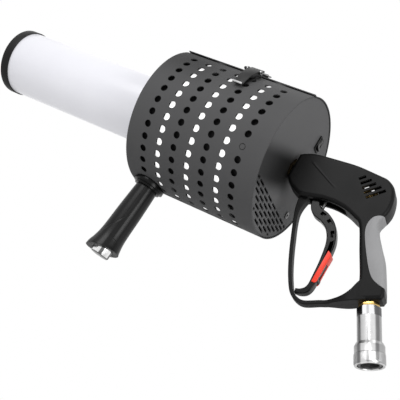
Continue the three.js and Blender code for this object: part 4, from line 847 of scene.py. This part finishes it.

# A faint crease runs down each side behind the nose; besides its bump, its line is painted lighter as a
# painted highlight.
gun_plastic = Finish("glass_filled_plastic", Specular_IOR_Level=0.12)
x, y, z = gun_plastic.along()
start, end = Vector((-0.1223, 0.0886)), Vector((-0.0788, 0.0674))
run = (end - start).normalized()
beside = (x - start.x) * run.y - (z - start.y) * run.x
along = (x - start.x) * run.x + (z - start.y) * run.y
crease = beside.rise(-0.0022, -0.0002) * (1 - beside.rise(0.0002, 0.0022))
crease *= along.rise(-0.004, 0.006) * (1 - along.rise(0.036, 0.052))
cloud = gun_plastic.noise(30, 2)
gun_plastic.colour(crease * 0.7 + cloud * 0.2, grey(9), grey(34))
gun_plastic.feed("Roughness", cloud * 0.14 + 0.38)
gun_plastic.bump(crease * 0.6 + gun_plastic.noise(0.5, 3) * 0.03, 1.0)
for side, name in ((-1, "gun_left"), (1, "gun_right")):
    half = copied(housing)
    carved(half, block(500, 60, 500, -80, side * 30.15, 0), operation="INTERSECT")
    edit(half)
    bpy.ops.mesh.dissolve_limited(angle_limit=radians(1))
    rounded(close(half), 0.35, 2, 38)
    fit(half, name + "_half", gun_plastic, "black_plastic", "blower", name + "_shell", smooth=28)
    apply_modifier(half, "WEIGHTED_NORMAL", keep_sharp=True)
bpy.data.objects.remove(housing)

soft_grey = Finish("soft_grey_pad", Roughness=0.6, Specular_IOR_Level=0.35)
tone = soft_grey.noise(25, 2)
soft_grey.colour(tone, grey(126), grey(138))
soft_grey.feed("Roughness", tone * 0.14 + 0.52)
soft_grey.bump(soft_grey.noise(0.35, 2), 0.04)
rounded(pad, 0.5, 2, 38)
fit(pad, "grip_soft_pad", soft_grey, "grey_rubber", "blower", "grip_pad", smooth=28)
for number in "1234":
    screw = softened("shell_screw_" + number)
    fit(screw, "housing_screw_" + number, bright, "steel", "blower", "shell_screw_" + number)


# Trigger: a glossy curved lever on a cross pin at the top of the guard, with ribbed pockets down both its
# sides, and a red safety catch that clips over it on its own pin and swings out to block the pull.
pivot_x, pivot_z, trigger_down, trigger_sweep = -99.3, axis_height - 24, 125.5, 52.3
trigger_half, pocket_web, pocket_width, clip_half, clip_wall = 6.2, 1.5, 5, 7.6, 1.1
pivot_boss, pivot_hole, catch_boss, catch_hole = 6.5, 2.8, 2.9, 1.8
catch_x, catch_z = -44.9, -49.4
trigger_shares = [(0, 0), (0.1, -0.103), (0.215, -0.15), (0.32, -0.164), (0.45, -0.179), (0.66, -0.231)]
trigger_shares += [(0.81, -0.31), (0.902, -0.398), (0.947, -0.5), (0.977, -0.634), (0.985, -0.77)]
trigger_shares += [(0.994, -0.88), (0.946, -0.943), (0.83, -0.979), (0.71, -0.99)]
trigger_depths = [9, 12, 13.6, 14.2, 14.2, 13.4, 12.6, 12, 11, 9.6, 8, 7.7, 7.8, 6.5, 5]
catch_side = [(-5, 1.5), (-5.3, 20), (-6.6, 40), (-5.6, 40.6), (1.2, 37), (2.3, 35.5), (2.3, 27)]
catch_side += [(2, 25.4), (2, 4), (2.6, 1.5), (2.6, -1.5), (1.8, -3.8), (0, -5.2), (-3.5, -5.2)]
catch_side += [(-5.8, -3.8), (-6.1, -1)]

trigger_places = [(pivot_x + s * trigger_sweep, pivot_z + t * trigger_down) for s, t in trigger_shares]
trigger_line = flowing(trigger_places, 4)
trigger = slab(ribbon(trigger_line, swelling(trigger_depths, 1, 4)), trigger_half, 1.4, 3)
for x, z, radius in ((pivot_x, pivot_z, pivot_boss), (catch_x, catch_z, catch_boss)):
    carved(trigger, cross_rod(x, z, radius, -trigger_half, trigger_half, 40), operation="UNION")
for x, z, radius in ((pivot_x, pivot_z, pivot_hole), (catch_x, catch_z, catch_hole)):
    carved(trigger, cross_rod(x, z, radius, -20, 20))
for first, last in ((12, 17), (18, 22), (23, 27), (28, 37)):
    for side in (-1, 1):
        pocket = ribbon(trigger_line[first:last], [pocket_width] * (last - first), 1.6)
        carved(trigger, extruded(pocket, *sorted((side * 20, side * pocket_web))))
rounded(trigger, 0.3, 2, 38)
fit(trigger, "trigger_lever", gloss_plastic, "gloss_black", "trigger", "trigger", smooth=30)
apply_modifier(trigger, "WEIGHTED_NORMAL", keep_sharp=True)

signal_red = Finish("signal_red_plastic", Roughness=0.36, Specular_IOR_Level=0.3)
depth_of_red = signal_red.noise(12, 2)
deep_red, light_red = (0.66, 0.036, 0.018, 1), (0.72, 0.046, 0.022, 1)
signal_red.colour(depth_of_red, deep_red, light_red)
signal_red.feed("Roughness", depth_of_red * 0.16 + 0.28)
signal_red.bump(signal_red.noise(0.5, 2), 0.02)
catch = slab([Vector((catch_x + x, catch_z + z)) for x, z in catch_side], clip_half, 0.5, 2)
clip_room = clip_half - clip_wall
carved(
    catch,
    block(20, clip_room * 2, 80, catch_x - 8.7, 0, catch_z + 10),
    block(20, clip_half * 3, 80, catch_x - 13.6, 0, catch_z + 20),
    block(20, 8, 45, catch_x, 0, catch_z + 1),
    cross_rod(catch_x, catch_z, 4.6, -clip_room, clip_room),
    cross_rod(catch_x, catch_z, catch_hole, -clip_room - 0.5, clip_room + 0.5),
)
fit(catch, "safety_lever", signal_red, "red_plastic", "safety", "safety_catch", smooth=30)
fit(softened("trigger_pin"), "trigger_cross_pin", bright, "steel", "blower", "trigger_pin")
fit(softened("safety_pin"), "safety_cross_pin", bright, "steel", "trigger", "safety_pin")


# Inlet and quick coupler: a brass hexagon nipple screwed up into the grip, then a chromed steel coupler
# with a sliding sleeve. The sleeve is knurled round its lower band, and a snap ring stops it.
nipple = softened("inlet_nipple", 0.5)
hex_turn = Matrix.Rotation(radians(34), 4, "Z")
nipple.data.transform(hand_axis @ hex_turn @ hand_axis.inverted())
fit(nipple, "inlet_hexagon", hand_brass, "brass", "blower", "inlet_nipple")
coupler_top, hex_end, throat_top, barrel_end, socket_end, coupler_end = -60, -72, -106, -107, -112, -130.6
coupler_radius, hex_radius, neck_radius = 14.6, 14.665, 13.2
socket_radius, throat_radius, inlet_radius = 10.6, 7.8, 8.5
body_profile = [
    (coupler_top, inlet_radius),
    (coupler_top, coupler_radius - 1),
    (coupler_top - 1, coupler_radius),
    (barrel_end + 1.2, coupler_radius),
    (barrel_end, coupler_radius - 0.8),
    (barrel_end, neck_radius),
    (coupler_end + 0.3, neck_radius),
    (coupler_end, neck_radius - 0.3),
    (coupler_end, socket_radius + 1.2),
    (coupler_end + 1.2, socket_radius),
    (socket_end, socket_radius),
    (socket_end, throat_radius),
    (throat_top, throat_radius),
    (throat_top, inlet_radius),
]
flats = rod(-100, -50, hex_radius, hand_axis @ hex_turn, 6)
ring = carved(turned([(-55, 10), (-55, 24), (hex_end, 24), (hex_end, 10)], 96, hand_axis), flats)
coupler = carved(turned(body_profile, 96, hand_axis), ring)

# The chrome's colour is painted light: light and dark bands along the coupler are painted reflections, the
# hexagon is painted dark as shade, a dark ring above the knurl is painted shade in its step, the end rim is a
# painted highlight and the mouth is painted dark as shade inside it.
chrome = Finish("chromed_steel", Metallic=1.0, Roughness=0.3)
x, y, z = chrome.along(chrome.turned_to(hand_axis))
veil = chrome.noise(14, 3)
across = chrome.maths("ABSOLUTE", x) / (coupler_radius * mm)
# Painted reflections: light and dark bands across the coupler.
painted_reflection_bands = across.rise(0.03, 0.16) * (1 - across.rise(0.5, 0.68)) + across.rise(0.8, 0.93) * 0.4
tone = painted_reflection_bands * 0.55 + 0.14 + (1 - across.rise(0.03, 0.16)) * 0.24 + veil * 0.1
radius = chrome.maths("SQRT", x * x + y * y)
# Painted shade on the hexagon and in the step above the knurl; a painted highlight on the end rim and painted
# shade inside the mouth.
tone = tone * (1 - z.rise(-0.0724, -0.0718) * 0.75)
tone = tone * (1 - z.rise(-0.1182, -0.1174) * (1 - z.rise(-0.1174, -0.1166)) * 0.5)
tone = (tone + (1 - z.rise(-0.131, -0.1305)) * 0.5) * (radius.rise(0.0119, 0.0125) * 0.95 + 0.05)
chrome.colour(tone, (0.03, 0.03, 0.032, 1), (0.88, 0.88, 0.88, 1))
chrome.feed("Roughness", veil * 0.14 + 0.22)
angle = chrome.maths("ARCTAN2", y, x)
left_cut = chrome.maths("SINE", angle * 56 + z * 2800)
right_cut = chrome.maths("SINE", angle * 56 - z * 2800)
band = z.rise(-0.1289, -0.1285) * (1 - z.rise(-0.1183, -0.1179))
chrome.bump(left_cut * right_cut * band, 0.1)
rounded(coupler, 0.3, 2, 38)
fit(coupler, "coupler_barrel", chrome, "steel", "blower", "coupler_body", smooth=25)

collar_top, knurl_top, ring_seat, knurl_foot, collar_foot = -104, -117.9, -128.35, -128.9, -131.3
collar_radius, knurl_radius, collar_bore, ring_bore = 18.1, 18.7, 13.5, 15
collar_profile = [
    (collar_top, coupler_radius + 0.3),
    (collar_top, coupler_radius + 1.3),
    (collar_top - 0.3, coupler_radius + 1.7),
    (collar_top - 4, collar_radius),
    (knurl_top + 0.6, collar_radius),
    (knurl_top, knurl_radius),
    (knurl_foot, knurl_radius),
    (collar_foot, 17.75),
    (collar_foot, ring_bore + 0.4),
    (collar_foot + 0.4, ring_bore),
    (ring_seat, ring_bore),
    (ring_seat, collar_bore),
    (socket_end, collar_bore),
    (socket_end, coupler_radius + 0.3),
]
collar = rounded(turned(collar_profile, 96, hand_axis), 0.25, 2, 38)
fit(collar, "coupler_collar", chrome, "steel", "coupler_sleeve", "coupler_sleeve", smooth=25)
dress(blacked, "coupler_snap_ring")


# Fore grip: a glossy moulded handle under the front of the drum, with a saddle shaped to the sleeve and
# a bolt inside. Its foot flares, is cut on a slant and is wrapped obliquely; a bright plug closes it.
fore_x, fore_z, fore_lean = -323.1, -24.02, radians(3.5)
fore_place = Matrix.Translation((fore_x * mm, 0, fore_z * mm)) @ Matrix.Rotation(fore_lean, 4, "Y")
foot_slope, foot_middle, plug_room, plug_radius = radians(13), -111.46, 14.3, 14
saddle_radius, saddle_step, saddle_foot = 23, 19.5, -7.5
wrapped = Finish("wrapped_gloss_black", Roughness=0.2, Specular_IOR_Level=0.2)
x, y, z = wrapped.along(wrapped.turned_to(fore_place))
turn = wrapped.maths("ARCTAN2", wrapped.maths("ABSOLUTE", y), x * -1)
# The wrap's edge runs down slantwise from the side to the front, and then straight to the foot.
edge = wrapped.maths("MAXIMUM", z - turn * 0.0326 + 0.1253, 0.021 - turn * 0.02)
wrap = (edge.rise(0, 0.0009) + (1 - edge.rise(-0.006, 0)) * 0.5) * (1 - turn.rise(1.9, 2.15))
fold = (z + turn * 0.0062 - 0.0062 * 2.25 + 0.0922).rise(-0.0006, 0.0006)
rear_fold = fold * turn.rise(2.0, 2.3) * (1 - turn.rise(2.6, 2.9))
tone = wrapped.noise(20, 2)
wrapped.colour(tone, grey(8), grey(15))
wrapped.feed("Roughness", tone * 0.1 + 0.27)
wrapped.bump(wrap * 0.6 + rear_fold * 0.5 + wrapped.noise(2.5, 2) * 0.02, 1.0)

saddle_profile = [(-saddle_foot, 0), (-saddle_foot, saddle_radius), (-4.5, saddle_radius)]
saddle_profile += [(-4.5, saddle_step), (saddle_foot, saddle_step), (saddle_foot, 0)]
saddle = turned(saddle_profile, 96, fore_place, closed=False)
carved(saddle, rod(-400, -250, drum_radius + 0.3, along_barrel, 192))
fit(rounded(saddle, 0.6, 3, 35), "foregrip_collar", gloss_plastic, "gloss_black", "blower", "foregrip_saddle")
fore_side = [(-7.8, 14.8), (-8.3, 15.8), (-45, 17.5), (-84.2, 18.6), (-100.6, 20.9), (-110, 23.4)]
fore_line = flowing([*fore_side, (-118, 24)], 6)
handle = turned([(-7.8, 0), *((p.x, p.y) for p in fore_line), (-118, 0)], 96, fore_place, closed=False)
edit(handle)
slant = Matrix.Rotation(fore_lean - foot_slope, 3, "Y") @ Vector((0, 0, -1))
bpy.ops.mesh.bisect(
    plane_co=fore_place @ Vector((0, 0, foot_middle * mm)),
    plane_no=slant,
    use_fill=True,
    clear_outer=True,
)
close(handle)
carved(handle, rod(-95, -125, plug_room, fore_place, 96))
rounded(handle, 0.9, 3, 50)
fit(handle, "foregrip_handle", wrapped, "gloss_black", "blower", "foregrip_body", smooth=40)
plug_profile = [(-95.3, 0), (-95.3, plug_radius), (-118.4, plug_radius), (-119.5, 12.8), (-119.5, 0)]
plug = rounded(turned(plug_profile, 10, fore_place, closed=False), 0.3, 2, 20)
faceted = Finish("faceted_chrome", Metallic=1.0, Roughness=0.2)
x, y, z = faceted.along(faceted.turned_to(fore_place))
angle = faceted.maths("ARCTAN2", y, x)
# Painted reflections: the facets alternate light and dark, and painted shade darkens the end face.
facet = faceted.maths("SINE", angle * 5 + 3.74).rise(-0.75, -0.45)
shade = facet * 0.75 + faceted.noise(3, 2) * 0.2
shade = shade * (z + 0.1189).rise(-0.0002, 0.0002) + 0.06
faceted.colour(shade, (0.02, 0.02, 0.02, 1), (0.95, 0.95, 0.95, 1))
faceted.bump(faceted.noise(0.5, 2), 0.006)
fit(plug, "foregrip_plug", faceted, "chrome", "blower", "foregrip_end_cap", smooth=15)


# Studio: the object is shot against plain white, with a pale floor well under it, since the camera
# looks up at it. One large soft lamp stands at the front, a weaker one overhead and a small one at the right.
floor_height = -0.72
bpy.ops.mesh.primitive_plane_add(size=9, location=(0, 0, floor_height))
floor = bpy.context.object
floor.name = "studio_floor"
paper = Finish("pale_paper", Roughness=0.9)
paper.colour(paper.noise(60, 2), (0.78, 0.78, 0.78, 1), (0.82, 0.82, 0.82, 1))
floor.data.materials.append(paper.material)

target = Vector((-0.32, 0, 0.04))
for name, place, size, energy in (
    ("front_softbox", (-0.75, -1.8, 1.15), 1.2, 26),
    ("overhead_softbox", (0.2, 0.1, 1.7), 1.3, 5),
    ("right_softbox", (1.25, -0.92, 0.15), 0.8, 13),
):
    lamp = bpy.data.lights.new(name, "AREA")
    lamp.size = size
    lamp.energy = energy
    stand = placed(name, lamp)
    stand.location = place
    stand.rotation_euler = (target - Vector(place)).to_track_quat("-Z", "Y").to_euler()

world = bpy.data.worlds.new("studio_white")
bpy.context.scene.world = world
world.use_nodes = True
sky = world.node_tree
rays = sky.nodes.new("ShaderNodeLightPath")
seen = rays.outputs["Is Camera Ray"]
for other in ("Is Glossy Ray", "Is Transmission Ray"):
    either = sky.nodes.new("ShaderNodeMath")
    either.operation = "MAXIMUM"
    sky.links.new(seen, either.inputs[0])
    sky.links.new(rays.outputs[other], either.inputs[1])
    seen = either.outputs[0]
level = sky.nodes.new("ShaderNodeMapRange")
level.inputs["To Min"].default_value = 0.6
level.inputs["To Max"].default_value = 1.0
sky.links.new(seen, level.inputs["Value"])
sky.nodes["Background"].inputs["Color"].default_value = (1, 1, 1, 1)
sky.links.new(level.outputs["Result"], sky.nodes["Background"].inputs["Strength"])
bpy.context.scene.view_settings.view_transform = "Standard"

# Camera: worked out from the places of the drum's holes in the photograph, which are on a known grid.
# It stands low on the left, behind the object, and looks up at it.
camera = bpy.data.cameras.new("photo_camera")
camera.sensor_width = 36
camera.lens = 80.19
camera.clip_start, camera.clip_end = 0.05, 30
tripod = placed("photo_camera", camera)
right = (0.81061485, 0.28683707, 0.51051744)
upward = (-0.3588206, -0.44566055, 0.82014294)
backward = (0.46276488, -0.84800423, -0.25833601)
place = Matrix.Translation((0.309093, -1.012166, -0.323449))
tripod.matrix_world = place @ Matrix((right, upward, backward)).transposed().to_4x4()
bpy.context.scene.camera = tripod
